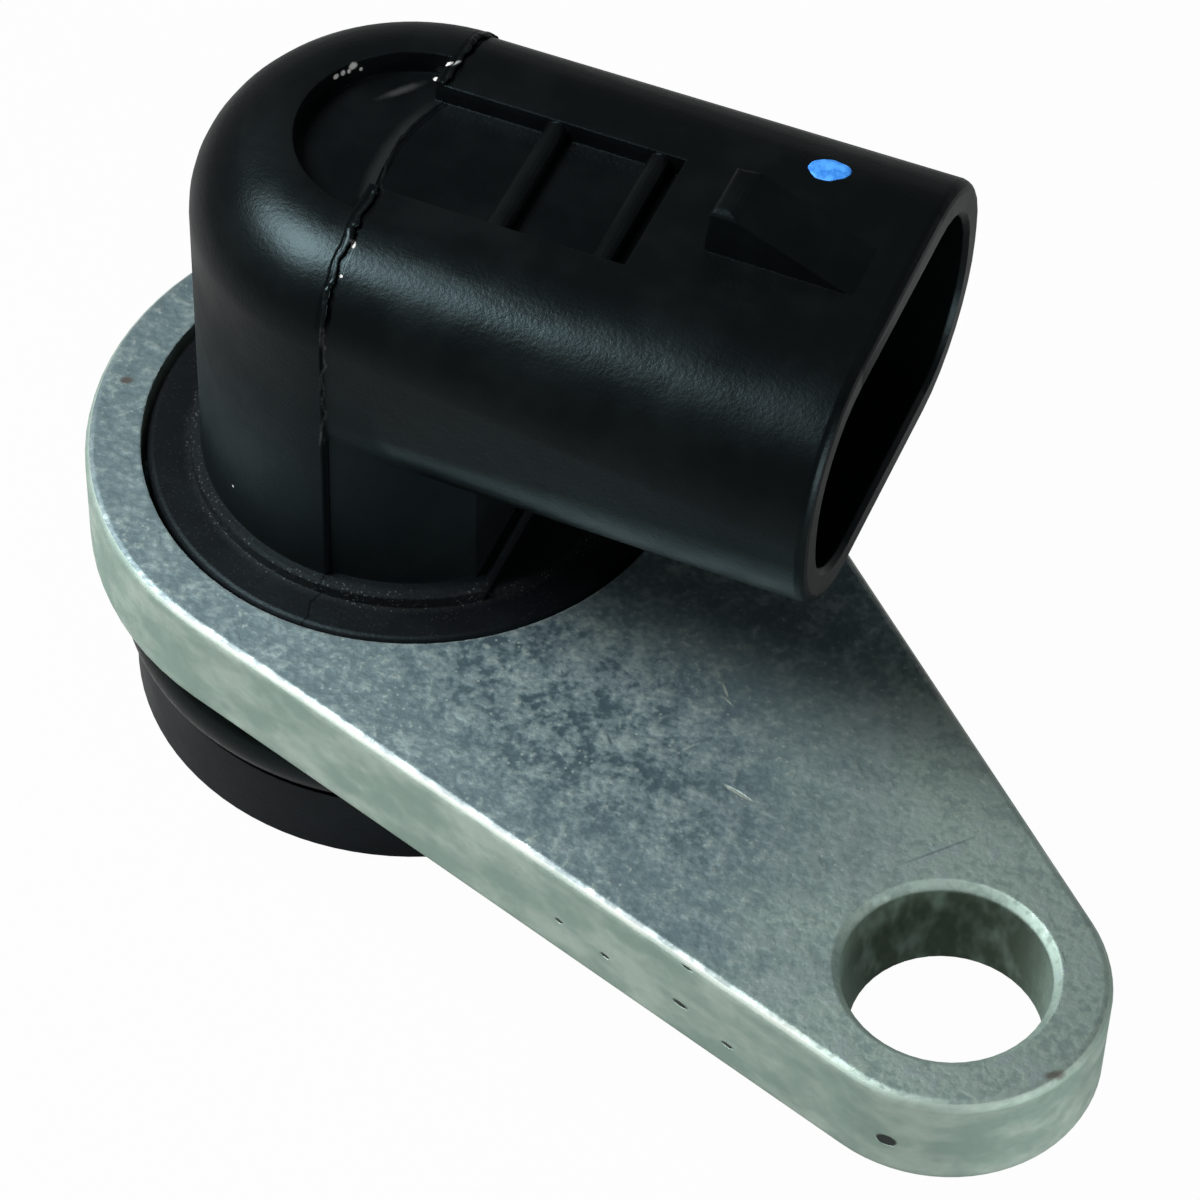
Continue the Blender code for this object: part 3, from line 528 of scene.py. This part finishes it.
def cast_aluminium(sizes, colours):
    """Tumbled cast aluminium: blotches, bright pecks, hairlines, worn edges whitened as a painted
    highlight, painted shade in the bolt hole, and a few pits.
    """
    made = Finish("cast_aluminium")
    rounded = made.soft_edges(sizes.plate_edge_softness, 3)
    blotch = made.noise(0.3, 3.0, 0.65)
    patch = made.noise(0.75, 2.0, 0.6)
    fine = made.noise(3.0, 3.0, 0.6)
    tone = made.plus(made.times(patch, 0.55), made.times(fine, 0.45))
    across, height = made.part(made.place, "X"), made.part(made.place, "Z")
    hole = (*(length / MM for length in HOLE_CENTRE), 0.0)
    from_hole = made.vector("SUBTRACT", made.place, hole)
    away = made.vector("LENGTH", made.vector("MULTIPLY", from_hole, (1.0, 1.0, 0.0)))

    # the top: paler and greener toward the hole, mottled in its middle
    mottled = made.most(made.spot(*MOTTLED_ZONE), 0.42)
    ground = made.blend(made.step(made.plus(across, made.times(blotch, 12.0)), 26.0, 38.0),
                        colours.metal, colours.metal_toward_hole)
    dark = made.times(made.step(tone, 0.54, 0.39), mottled)
    colour = made.blend(dark, ground, colours.metal_dark)
    pale = made.times(made.step(tone, 0.49, 0.66), made.most(mottled, 0.85))
    colour = made.blend(made.times(pale, 0.9), colour, colours.metal_pale)

    # bright pecks, chips and hairlines, then dark dots, hairlines and the scratch
    pecks = made.times(made.step(made.cells(2.3), 0.2, 0.1),
                       made.step(made.noise(0.8, 1.0), 0.48, 0.6))
    chips = made.times(made.step(fine, 0.62, 0.69), made.step(blotch, 0.42, 0.58))
    hairs = made.step(made.noise(1.0, 2.0, 0.5, made.laid((5.0, 0.22, 1.0), 0.9)), 0.72, 0.76)
    hairs = made.times(hairs, made.step(patch, 0.42, 0.58))
    long_mark = made.spot(*LONG_MARK)
    bright = made.most(made.times(pecks, 0.45), made.times(chips, 0.5), made.times(hairs, 0.5),
                       long_mark, made.spots(NICKS))
    colour = made.blend(made.times(bright, 0.85), colour, colours.metal_side_pale)
    dots = made.times(made.step(made.cells(3.0), 0.17, 0.08),
                      made.step(made.noise(1.1, 2.0), 0.47, 0.57))
    dark_hairs = made.step(made.noise(1.4, 2.0, 0.5, made.laid((2.0, 0.4, 1.0), 2.2)), 0.68, 0.72)
    dark_marks = made.most(made.times(made.most(dots, dark_hairs), mottled),
                           made.times(made.spot(*SCRATCH), 0.7))
    colour = made.blend(made.times(dark_marks, 0.6), colour, colours.metal_dark)

    # the smoother sides, and the hole's wall: paler streaks, and painted shade that leaves the far
    # side dark while the near side is paler
    own_upright = made.upright()
    on_top = made.step(own_upright, 0.6, 0.9)
    side_tone = made.noise(0.5, 3.0, 0.6, made.laid((1.6, 1.6, 0.9)))
    side = made.blend(made.step(side_tone, 0.35, 0.7), colours.metal_side, colours.metal_side_pale)
    colour = made.blend(made.most(on_top, made.step(away, 5.2, 5.0, 0.0, 0.75)), side, colour)
    streak = made.step(made.noise(0.9, 2.0, 0.6, made.laid((1.0, 1.0, 2.2))), 0.4, 0.75)
    # painted shade: the wall darkens toward its far side and pales toward its near side
    far_side = made.vector("DOT_PRODUCT", from_hole, (-0.09, 0.21, 0.0))
    wall_streaks_and_light = made.most(made.times(streak, 0.5), made.step(far_side, 0.85, 0.0, 0.0, 0.8))
    wall_colour = made.blend(wall_streaks_and_light, colours.hole_metal, colours.metal_side)
    on_wall = made.times(made.step(away, 4.8, 4.6), made.step(height, 14.3, 13.9))
    colour = made.blend(on_wall, colour, wall_colour)

    # stains, pits and the rubbed edge, whitened as a painted highlight along the near edge, which
    # fades round the lobe and the hole
    colour = made.blend(made.times(made.spots(STAINS), 0.7), colour, colours.stain)
    pits = made.spots(PITS)
    colour = made.blend(made.times(pits, 0.9), colour, colours.pit)
    upward = made.upright(rounded)
    wear_and_highlight = made.band(upward, 0.5, 0.8, 0.94, 0.985)
    wear_and_highlight = made.times(wear_and_highlight, made.step(made.noise(0.5, 1.0), 0.3, 0.6, 0.35, 0.6))
    wear_and_highlight = made.times(wear_and_highlight, made.step(away, 5.3, 5.8, 0.1, 1.0))
    wear_and_highlight = made.times(wear_and_highlight, made.step(across, 32.0, 27.0, 0.2, 1.0))
    wear_and_highlight = made.times(wear_and_highlight, made.step(across, -9.0, -3.0, 0.2, 1.0))
    colour = made.blend(wear_and_highlight, colour, colours.metal_worn_highlight)

    roughness = made.minus(made.step(tone, 0.4, 0.6, 0.56, 0.46), made.times(bright, 0.1))
    roughness = made.plus(roughness, made.step(upward, 0.99, 0.9, 0.0, 0.12))
    relief = made.plus(fine, made.times(patch, 1.6))
    relief = made.times(relief, made.step(on_top, 0.0, 1.0, 0.5, 1.0))
    relief = made.times(relief, made.step(own_upright, 0.93, 0.999, 0.1, 1.0))
    relief = made.minus(relief, made.times(pits, 6.0))
    relief = made.minus(relief, made.times(long_mark, 0.5))
    normal = made.bump(relief, 0.02 * MM, rounded)
    return made.finish(colour, roughness, normal, metallic=0.85)


def ring_rubber(colours):
    """Oiled black rubber with faint rub marks round the ring."""
    made = Finish("ring_rubber")
    cloud = made.noise(0.7, 4.0, 0.6)
    fine = made.noise(7.0, 3.0)
    colour = made.blend(made.step(cloud, 0.4, 0.7, 0.0, 0.6), colours.rubber, colours.plastic_pale)
    roughness = made.step(cloud, 0.35, 0.7, 0.2, 0.34)
    normal = made.bump(made.plus(fine, made.times(cloud, 3.0)), 0.006 * MM)
    return made.finish(colour, roughness, normal, specular=0.25, tint=TEAL_GLOSS)


def flash_plastic(colours):
    """Glossy torn flash of the black plastic, whitened where it was stressed, with painted glints
    in the same pale spots.
    """
    made = Finish("flash_plastic")
    cloud = made.noise(1.6, 4.0, 0.6)
    colour = made.blend(made.times(made.spots(FLASH_GLINTS_AND_WHITENING), 0.7), colours.plastic, colours.pale_marks)
    roughness = made.step(cloud, 0.35, 0.65, 0.26, 0.45)
    normal = made.bump(made.noise(4.0, 4.0), 0.02 * MM)
    return made.finish(colour, roughness, normal, specular=0.22, tint=TEAL_GLOSS)


def dabbed_paint(colours):
    """Matte paint, dabbed on by hand: thin at the edge and streaked."""
    made = Finish("dabbed_paint")
    cloud = made.noise(2.2, 4.0, 0.6)
    deep = tuple(channel * 0.72 for channel in colours.paint)
    light = tuple(min(1.0, channel * 1.2 + 0.03) for channel in colours.paint)
    colour = made.blend(made.step(cloud, 0.35, 0.65), deep, light)
    roughness = made.step(cloud, 0.3, 0.7, 0.5, 0.65)
    normal = made.bump(made.plus(cloud, made.noise(6.0, 3.0)), 0.02 * MM)
    return made.finish(colour, roughness, normal)


def plain_finish(name, colour, pale, roughness, metallic, per_mm):
    """A finish for inner pieces: clouded colour, uneven gloss and a fine grain."""
    made = Finish(name)
    cloud = made.noise(per_mm, 4.0, 0.6)
    fine = made.noise(8.0 * per_mm, 3.0)
    shade = made.blend(made.step(cloud, 0.35, 0.7), colour, pale)
    uneven = made.step(cloud, 0.3, 0.7, roughness - 0.05, roughness + 0.07)
    normal = made.bump(made.plus(fine, made.times(cloud, 2.0)), 0.008 * MM)
    return made.finish(shade, uneven, normal, metallic)


def paler(colour, share):
    return tuple(channel + (1.0 - channel) * share for channel in colour)


# meshes


def put_in_scene(name, mesh, material):
    """Link a mesh as a piece that rides on the part and takes its finish from a slot."""
    piece = bpy.data.objects.new(name, mesh)
    bpy.context.scene.collection.objects.link(piece)
    mesh.materials.clear()
    mesh.materials.append(material)
    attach(piece, "root")
    return piece


def grid_mesh(name, points, closed_rows=False, closed_columns=False):
    """A mesh of quads over a grid of points, rows by columns, wrapped round where it is closed."""
    rows, columns = points.shape[:2]
    index = np.arange(rows * columns).reshape(rows, columns)
    if closed_rows:
        index = np.vstack((index, index[:1]))
    if closed_columns:
        index = np.hstack((index, index[:, :1]))
    quads = np.stack((index[:-1, :-1], index[:-1, 1:], index[1:, 1:], index[1:, :-1]), axis=-1)
    mesh = bpy.data.meshes.new(name)
    mesh.from_pydata(points.reshape(-1, 3).tolist(), [], quads.reshape(-1, 4).tolist())
    builder = bmesh.new()
    builder.from_mesh(mesh)
    bmesh.ops.remove_doubles(builder, verts=builder.verts, dist=WELD)
    bmesh.ops.recalc_face_normals(builder, faces=builder.faces)
    builder.to_mesh(mesh)
    builder.free()
    mesh.shade_smooth()
    return mesh


def unit(vectors, least=TINY):
    """The vectors made one long. One shorter than least stays short."""
    return vectors / np.maximum(np.linalg.norm(vectors, axis=-1, keepdims=True), least)


def welded_copy(node, name, rounds):
    """A copy of a solid's mesh with its loose triangles joined, shaded by its rounds' formulas.

    Each round gives a direction for every corner of every triangle and says where it fits.
    A corner takes the direction of the first round that fits and is near its triangle's own
    direction, and otherwise the triangle's own.
    """
    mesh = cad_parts[node].data.copy()
    mesh.name = name
    builder = bmesh.new()
    builder.from_mesh(mesh)
    bmesh.ops.remove_doubles(builder, verts=builder.verts, dist=WELD)
    bmesh.ops.dissolve_degenerate(builder, edges=builder.edges, dist=WELD / 10)
    bmesh.ops.triangulate(builder, faces=builder.faces)
    builder.to_mesh(mesh)
    builder.free()
    mesh.shade_smooth()
    places = np.empty(len(mesh.vertices) * 3)
    mesh.vertices.foreach_get("co", places)
    used = np.empty(len(mesh.loops), dtype=np.int32)
    mesh.loops.foreach_get("vertex_index", used)
    corners = places.reshape(-1, 3)[used].reshape(-1, 3, 3)
    facing = np.cross(corners[:, 1] - corners[:, 0], corners[:, 2] - corners[:, 0])
    flat = np.repeat(unit(facing, TINY_AREA)[:, None], 3, axis=1)
    shaded = flat.copy()
    free = np.ones(flat.shape[:2], dtype=bool)
    for find in rounds:
        found, fits = find(corners, flat)
        found = unit(found)
        taken = free & fits & ((found * flat).sum(axis=-1) > math.cos(ROUND_LIMIT))
        shaded[taken] = found[taken]
        free &= ~taken
    mesh.normals_split_custom_set(shaded.reshape(-1, 3).tolist())
    return mesh


def turned_round(centre):
    """Walls turned about an upright axis.

    The triangle's own radial and upright parts are carried round to each corner, and they fit
    where the same sum of radius and height holds at all three corners.
    """
    def find(corners, flat):
        away = corners[..., :2] - np.array(centre)
        radius = np.maximum(np.linalg.norm(away, axis=-1), TINY)
        radial = away / radius[..., None]
        middle = unit(away.mean(axis=1))
        own = flat[:, 0]
        outward = (own[:, :2] * middle).sum(axis=-1)
        sideways = own[:, 0] * middle[:, 1] - own[:, 1] * middle[:, 0]
        level = outward[:, None] * radius + own[:, 2:3] * corners[..., 2]
        fits = (np.ptp(level, axis=1) < ROUND_FIT) & (np.abs(sideways) < SIDEWAYS_LIMIT)
        found = np.concatenate((radial * outward[:, None, None],
                                np.broadcast_to(flat[..., 2:3], flat[..., 2:3].shape)), axis=-1)
        return found, np.repeat(fits[:, None], 3, axis=1)
    return find


def shoulder_round(corners, flat):
    """The elbow's shoulder, a quarter of a ring: away from the ring's middle line."""
    radius = np.linalg.norm(corners[..., :2], axis=-1)
    out = radius - (ELBOW_RADIUS - ELBOW_CORNER)
    up = corners[..., 2] - (SEAM_TOP - ELBOW_CORNER)
    radial = corners[..., :2] / np.maximum(radius, TINY)[..., None]
    found = np.concatenate((radial * out[..., None], up[..., None]), axis=-1)
    fits = np.abs(np.hypot(out, up) - ELBOW_CORNER) < SHOULDER_FIT
    return found, fits & (corners[..., 0] < SEAM_SIDE)


def part_way(pair, share):
    return pair[0] + (pair[1] - pair[0]) * share


def box_round(half_width, half_height, corner, facing):
    """The rounded corners of a section across the plug socket, which may widen to its mouth."""
    def find(corners, flat):
        share = corners[..., 0] / SHROUD_LENGTH
        wide = part_way(half_width, share)
        high = part_way(half_height, share)
        bend = part_way(corner, share)
        across, up = corners[..., 1], corners[..., 2] - SHROUD_AXIS
        over_y = np.sign(across) * np.clip(np.abs(across) - (wide - bend), 0.0, None)
        over_z = np.sign(up) * np.clip(np.abs(up) - (high - bend), 0.0, None)
        reach = np.hypot(over_y, over_z)
        section = np.stack((over_y, over_z), axis=-1) / np.maximum(reach, TINY)[..., None] * facing
        lean = flat[..., :1]
        found = np.concatenate((lean, section * np.sqrt(1.0 - lean ** 2)), axis=-1)
        return found, (np.abs(reach - bend) < BOX_REACH) & (corners[..., 0] > -BOX_REACH)
    return find


def rib_round(place):
    """A rib's round top: away from its own middle line."""
    def find(corners, flat):
        along = corners[..., 0] - place
        up = corners[..., 2] - RIB_CROWN
        found = np.stack((along, np.zeros_like(along), up), axis=-1)
        return found, np.abs(np.hypot(along, up) - RIB_RADIUS) < ROUND_FIT
    return find


def uneven_wave(along, knots_per_mm, seed):
    """Random heights at evenly spaced knots along a length, joined smoothly: 0 to 1."""
    rng = np.random.default_rng(seed)
    length = along[-1] - along[0]
    count = max(4, int(length / MM * knots_per_mm))
    knots = rng.uniform(0.0, 1.0, count + 2)
    place = (along - along[0]) / length * count
    before = np.minimum(np.floor(place).astype(int), count)
    share = place - before
    share = share * share * (3.0 - 2.0 * share)
    return knots[before] * (1.0 - share) + knots[before + 1] * share


def round_wave(angle, strength, seed):
    """A sum of sines of rising order with fixed random phases, so it closes on itself."""
    rng = np.random.default_rng(seed)
    order = np.arange(2, 12)
    size = rng.uniform(0.4, 1.0, order.size) / order
    phase = rng.uniform(0.0, math.tau, order.size)
    return strength * (np.sin(np.multiply.outer(angle, order) + phase) * size).sum(axis=-1)


def ring_points(sizes):
    """A round section carried round a circle.

    With turn a and section angle b, the radius is R + r cos b. The height is z + h times a
    power of sin b, as the groove squeezes the section taller and fuller than a circle.
    """
    middle = (RING_LOW.z + RING_HIGH.z) / 2
    half_thickness = (RING_HIGH.z - RING_LOW.z) / 2
    turn = np.linspace(0.0, math.tau, RING_TURN_STEPS, endpoint=False)[:, None]
    section = np.linspace(0.0, math.tau, RING_SECTION_STEPS, endpoint=False)[None, :]
    radius = sizes.ring_radius - half_thickness + half_thickness * np.cos(section)
    squeeze = np.sign(np.sin(section)) * np.abs(np.sin(section)) ** RING_FULLNESS
    height = middle + sizes.ring_height / 2 * squeeze
    return np.stack((radius * np.cos(turn), radius * np.sin(turn), height + 0 * turn), axis=-1)


def seam_line(sizes, side):
    """The elbow's outline at the seam: up its side, round its shoulder and in to the pocket.

    Returns the distance along it, its (y, z) points and its outward directions.
    """
    radius, corner = sizes.elbow_radius, sizes.elbow_corner
    steps = np.linspace(0.0, 1.0, SEAM_STEPS)
    rise = SEAM_TOP - corner - FLASH_FOOT
    bend = corner * math.pi / 2
    run = radius - corner - POCKET_HALF
    along = steps * (rise + bend + run)
    angle = np.clip((along - rise) / corner, 0.0, math.pi / 2)
    inward = np.clip(along - rise - bend, 0.0, None)
    y = -(radius - corner) - corner * np.cos(angle) + inward
    z = FLASH_FOOT + np.minimum(along, rise) + corner * np.sin(angle)
    outward = np.stack((-np.cos(angle), np.sin(angle)), axis=-1)
    points = np.stack((y, z), axis=-1)
    mirror = np.array((side, 1.0))
    return along, points * mirror, outward * mirror


def strip_points(along, points, outward, width, height, seed, bow=0.0):
    """A low ragged ridge carried along a line of (y, z) points near the plane x = 0.

    Its section is half an ellipse. The half width and height follow two random waves, and
    both shrink to nothing at the ends. The line wanders by a third wave, and it bows out of
    the plane by half a sine wave.
    """
    ends = np.clip(np.minimum(along - along[0], along[-1] - along) / FLASH_TAPER, 0.0, 1.0)
    coarse, ragged, wander = (
        uneven_wave(along, knots, seed + order) for order, knots in enumerate(FLASH_KNOTS))
    reach = width / 2 * (0.45 + 0.8 * ragged * coarse) * ends
    proud = height * (0.15 + 1.5 * coarse ** 2 * (0.35 + 0.65 * ragged)) * ends
    shift = width * 0.35 * (wander - 0.5)
    shift = shift + bow * np.sin(math.pi * (along - along[0]) / (along[-1] - along[0]))
    angle = np.linspace(0.0, math.tau, FLASH_SECTION_STEPS, endpoint=False)[None, :]
    x = shift[:, None] + reach[:, None] * np.cos(angle)
    lift = np.where(np.sin(angle) > 0, proud[:, None], FLASH_SUNK * ends[:, None]) * np.sin(angle)
    y = points[:, :1] + outward[:, :1] * lift
    z = points[:, 1:] + outward[:, 1:] * lift
    return np.stack((x, y, z), axis=-1)


def shroud_surface(x, y):
    """Height of the plug socket's top: flat, then a quarter circle down to each side."""
    share = x / SHROUD_LENGTH
    half, corner, top = (part_way(pair, share) for pair in (SHROUD_HALF, SHROUD_CORNER, SHROUD_TOP))
    over = np.clip(np.abs(y) - (half - corner), 0.0, corner)
    return top - corner + np.sqrt(corner ** 2 - over ** 2)


def paint_points(sizes):
    """A thin lens on the plug socket's top, its outline an ellipse with a ragged edge.

    With share s from the middle and angle a, the reach is s times the ellipse times one
    plus a wave of a. The upper side is a drop's profile, and the lower side lies just under
    the plastic.
    """
    share = np.concatenate((np.linspace(0.0, 1.0, PAINT_TOP_STEPS),
                            np.linspace(1.0, 0.0, PAINT_UNDER_STEPS)[1:]))[:, None]
    upper = (np.arange(share.size) < PAINT_TOP_STEPS)[:, None]
    angle = np.linspace(0.0, math.tau, PAINT_TURN_STEPS, endpoint=False)[None, :]
    edge = 1.0 + round_wave(angle, PAINT_RAGGED, PAINT_SEED)
    along = sizes.paint_length / 2 * share * edge * np.cos(angle)
    across = sizes.paint_width / 2 * share * edge * np.sin(angle)
    turn = PAINT_TURN
    x = PAINT_PLACE[0] + along * math.cos(turn) - across * math.sin(turn)
    y = PAINT_PLACE[1] + along * math.sin(turn) + across * math.cos(turn)
    drop = sizes.paint_thickness * np.sqrt(np.clip(1.0 - share ** 4, 0.0, 1.0))
    lift = np.where(upper, drop, -PAINT_SUNK * (1.0 - share ** 4)) + 0 * angle
    return np.stack((x, y, shroud_surface(x, y) + lift), axis=-1)


# operators, one for each piece or group of like pieces


class SENSOR_OT_dress_housing(Operator):
    """Stand a smooth copy of the black moulding in its place and give it its plastic."""

    bl_idname = "sensor.dress_housing"
    bl_label = "Dress housing"

    def execute(self, context):
        material = black_plastic(context.scene.sensor_sizes, context.scene.sensor_colours)
        rounds = [shoulder_round, turned_round((0.0, 0.0)),
                  box_round(SHROUD_HALF, SHROUD_HEIGHT, SHROUD_CORNER, 1.0),
                  box_round(SOCKET_HALF, SOCKET_HEIGHT, SOCKET_CORNER, -1.0)]
        rounds += [rib_round(place) for place in RIB_PLACES]
        mesh = welded_copy("sensor_housing", "housing", rounds)
        piece = put_in_scene("housing", mesh, material)
        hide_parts("sensor_housing")
        return {"FINISHED"}


class SENSOR_OT_dress_plate(Operator):
    """Stand a smooth copy of the cast plate in its place and give it its metal."""

    bl_idname = "sensor.dress_plate"
    bl_label = "Dress mounting plate"

    def execute(self, context):
        material = cast_aluminium(context.scene.sensor_sizes, context.scene.sensor_colours)
        rounds = [turned_round(centre) for centre in ((0.0, 0.0), LOBE_CENTRE, HOLE_CENTRE)]
        mesh = welded_copy("mounting_bracket", "plate", rounds)
        piece = put_in_scene("plate", mesh, material)
        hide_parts("mounting_bracket")
        return {"FINISHED"}


class SENSOR_OT_make_ring(Operator):
    """Make the rubber sealing ring that lies in the nose's groove."""

    bl_idname = "sensor.make_ring"
    bl_label = "Make sealing ring"

    def execute(self, context):
        points = ring_points(context.scene.sensor_sizes)
        mesh = grid_mesh("seal", points, closed_rows=True, closed_columns=True)
        material = ring_rubber(context.scene.sensor_colours)
        piece = put_in_scene("seal", mesh, material)
        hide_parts("sealing_ring")
        return {"FINISHED"}


class SENSOR_OT_make_flash(Operator):
    """Make the ragged flash along the seam between the elbow and the plug socket."""

    bl_idname = "sensor.make_flash"
    bl_label = "Make seam flash"

    def execute(self, context):
        sizes = context.scene.sensor_sizes
        material = flash_plastic(context.scene.sensor_colours)
        for name, side, seed in FLASH_SIDES:
            along, points, outward = seam_line(sizes, side)
            strip = strip_points(
                along, points, outward, sizes.flash_width, sizes.flash_height, seed)
            mesh = grid_mesh(name, strip, closed_columns=True)
            put_in_scene(name, mesh, material)
        along = np.linspace(0.0, 2.0 * POCKET_HALF, POCKET_STEPS)
        points = np.stack((along - POCKET_HALF, np.full_like(along, POCKET_FLOOR)), axis=-1)
        outward = np.stack((np.zeros_like(along), np.ones_like(along)), axis=-1)
        strip = strip_points(along, points, outward, sizes.flash_width * POCKET_FLASH[0],
                             sizes.flash_height * POCKET_FLASH[1], POCKET_SEED, sizes.flash_bow)
        mesh = grid_mesh("flash_pocket", strip, closed_columns=True)
        put_in_scene("flash_pocket", mesh, material)
        return {"FINISHED"}


class SENSOR_OT_make_paint(Operator):
    """Make the dab of blue paint on the plug socket's top."""

    bl_idname = "sensor.make_paint"
    bl_label = "Make paint mark"

    def execute(self, context):
        points = paint_points(context.scene.sensor_sizes)
        mesh = grid_mesh("paint_mark", points, closed_columns=True)
        material = dabbed_paint(context.scene.sensor_colours)
        put_in_scene("paint_mark", mesh, material)
        return {"FINISHED"}


class SENSOR_OT_dress_inner(Operator):
    """Give the nose cover, terminals, chip, magnet, disc, holder and capacitors their finishes."""

    bl_idname = "sensor.dress_inner"
    bl_label = "Dress inner pieces"

    def execute(self, context):
        colours = context.scene.sensor_colours
        for name, tint, lift, roughness, metallic, per_mm, nodes in INNER_FINISHES:
            colour = getattr(colours, tint)
            material = plain_finish(name, colour, paler(colour, lift), roughness, metallic, per_mm)
            for node in nodes:
                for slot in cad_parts[node].material_slots:
                    slot.material = material
        return {"FINISHED"}


def background_rays(made, gloss_share):
    """One for camera rays, and a share for gloss and transmission rays, which meet shade too."""
    path = made.add("ShaderNodeLightPath").outputs
    through = made.most(path["Is Glossy Ray"], path["Is Transmission Ray"])
    return made.most(path["Is Camera Ray"], made.times(through, gloss_share))


def floor_material(colours):
    """A pale floor that shows nearly white to the eye and to gloss, and still takes shadows."""
    made = Finish("pale_floor")
    dimmer = tuple(channel * 0.98 for channel in colours.floor)
    tint = made.blend(made.noise(0.04, 2.0, 0.5), dimmer, tuple(colours.floor))
    made.finish(tint, 0.9, specular=0.1)
    shown = made.times(background_rays(made, FLOOR_GLOSS_SHARE), FLOOR_WHITE_SHARE)
    white = made.fed("ShaderNodeEmission", {"Strength": 1.0})
    mixed = made.fed("ShaderNodeMixShader", {0: shown, 1: made.shader.outputs[0], 2: white})
    made.feed(made.tree.nodes["Material Output"].inputs["Surface"], mixed)
    return made.material


def studio_world():
    """White near the horizon, like the floor, and dimmer overhead."""
    world = bpy.data.worlds.new("studio")
    world.use_nodes = True
    made = Nodes(world.node_tree)
    climb = made.part(made.add("ShaderNodeTexCoord").outputs["Generated"], "Z")
    light = made.step(climb, *WORLD_CLIMB, WORLD_HORIZON, WORLD_ZENITH)
    shown = made.fed("ShaderNodeMix", {
        "Factor": background_rays(made, WORLD_GLOSS_SHARE), "A": light, "B": 1.0}, "Result")
    background = made.tree.nodes["Background"].inputs
    made.feed(background["Strength"], shown)
    made.feed(background["Color"], (1.0, 1.0, 1.0))
    bpy.context.scene.world = world


class SENSOR_OT_set_studio(Operator):
    """Set the pale floor, the soft lights, the white world and the camera."""

    bl_idname = "sensor.set_studio"
    bl_label = "Set studio"

    def execute(self, context):
        scene = context.scene
        reach = np.linspace(-FLOOR_HALF_WIDTH, FLOOR_HALF_WIDTH, 5)
        x, y = np.meshgrid(reach, reach, indexing="ij")
        points = np.stack((x, y, np.full_like(x, HOUSING_LOW.z - FLOOR_DROP)), axis=-1)
        mesh = grid_mesh("floor", points)
        mesh.materials.append(floor_material(scene.sensor_colours))
        floor = bpy.data.objects.new("floor", mesh)
        scene.collection.objects.link(floor)
        studio_world()
        middle = (CAD_BOX[0] + CAD_BOX[1]) / 2
        for name, direction, distance, width, height, power, colour in LIGHTS:
            lamp = bpy.data.lights.new(name, "AREA")
            lamp.shape = "RECTANGLE"
            lamp.size = width
            lamp.size_y = height
            lamp.energy = power
            lamp.color = colour
            holder = bpy.data.objects.new(name, lamp)
            away = Vector(direction).normalized()
            holder.location = middle + away * distance
            holder.rotation_euler = away.to_track_quat("Z", "Y").to_euler()
            holder.visible_camera = False
            scene.collection.objects.link(holder)
        right, down = Vector(CAMERA_RIGHT), Vector(CAMERA_DOWN)
        back = down.cross(right)
        lens = bpy.data.cameras.new("camera")
        lens.lens = CAMERA_LENS
        lens.sensor_width = CAMERA_SENSOR
        lens.clip_start, lens.clip_end = CAMERA_RANGE
        camera = bpy.data.objects.new("camera", lens)
        turn = Matrix((right, -down, back)).transposed().to_4x4()
        camera.matrix_world = Matrix.Translation(CAMERA_PLACE) @ turn
        scene.collection.objects.link(camera)
        scene.camera = camera
        scene.view_settings.view_transform = "Standard"
        return {"FINISHED"}


class SENSOR_PT_panel(Panel):
    """Sizes, colours and steps of the sensor's looks."""

    bl_idname = "SENSOR_PT_panel"
    bl_label = "Camshaft position sensor"
    bl_space_type = "VIEW_3D"
    bl_region_type = "UI"
    bl_category = "Sensor"

    def draw(self, context):
        for group in (context.scene.sensor_sizes, context.scene.sensor_colours):
            column = self.layout.column()
            for name in group.__annotations__:
                column.prop(group, name)
        column = self.layout.column(align=True)
        for operator in OPERATORS:
            column.operator(operator.bl_idname)


OPERATORS = (
    SENSOR_OT_dress_housing,
    SENSOR_OT_dress_plate,
    SENSOR_OT_make_ring,
    SENSOR_OT_make_flash,
    SENSOR_OT_make_paint,
    SENSOR_OT_dress_inner,
    SENSOR_OT_set_studio,
)
CLASSES = (SensorSizes, SensorColours, *OPERATORS, SENSOR_PT_panel)


def register():
    for kind in CLASSES:
        bpy.utils.register_class(kind)
    bpy.types.Scene.sensor_sizes = PointerProperty(type=SensorSizes)
    bpy.types.Scene.sensor_colours = PointerProperty(type=SensorColours)


def unregister():
    del bpy.types.Scene.sensor_colours
    del bpy.types.Scene.sensor_sizes
    for kind in reversed(CLASSES):
        bpy.utils.unregister_class(kind)


def clear_starting_objects():
    """Take out the cube, lamp and camera that a new Blender file may hold."""
    for name in ("Cube", "Light", "Camera"):
        item = bpy.data.objects.get(name)
        if item is not None:
            bpy.data.objects.remove(item)


def main():
    register()
    clear_starting_objects()
    bpy.ops.sensor.dress_housing()
    bpy.ops.sensor.dress_plate()
    bpy.ops.sensor.make_ring()
    bpy.ops.sensor.make_flash()
    bpy.ops.sensor.make_paint()
    bpy.ops.sensor.dress_inner()
    bpy.ops.sensor.set_studio()


if __name__ == "__main__":
    main()
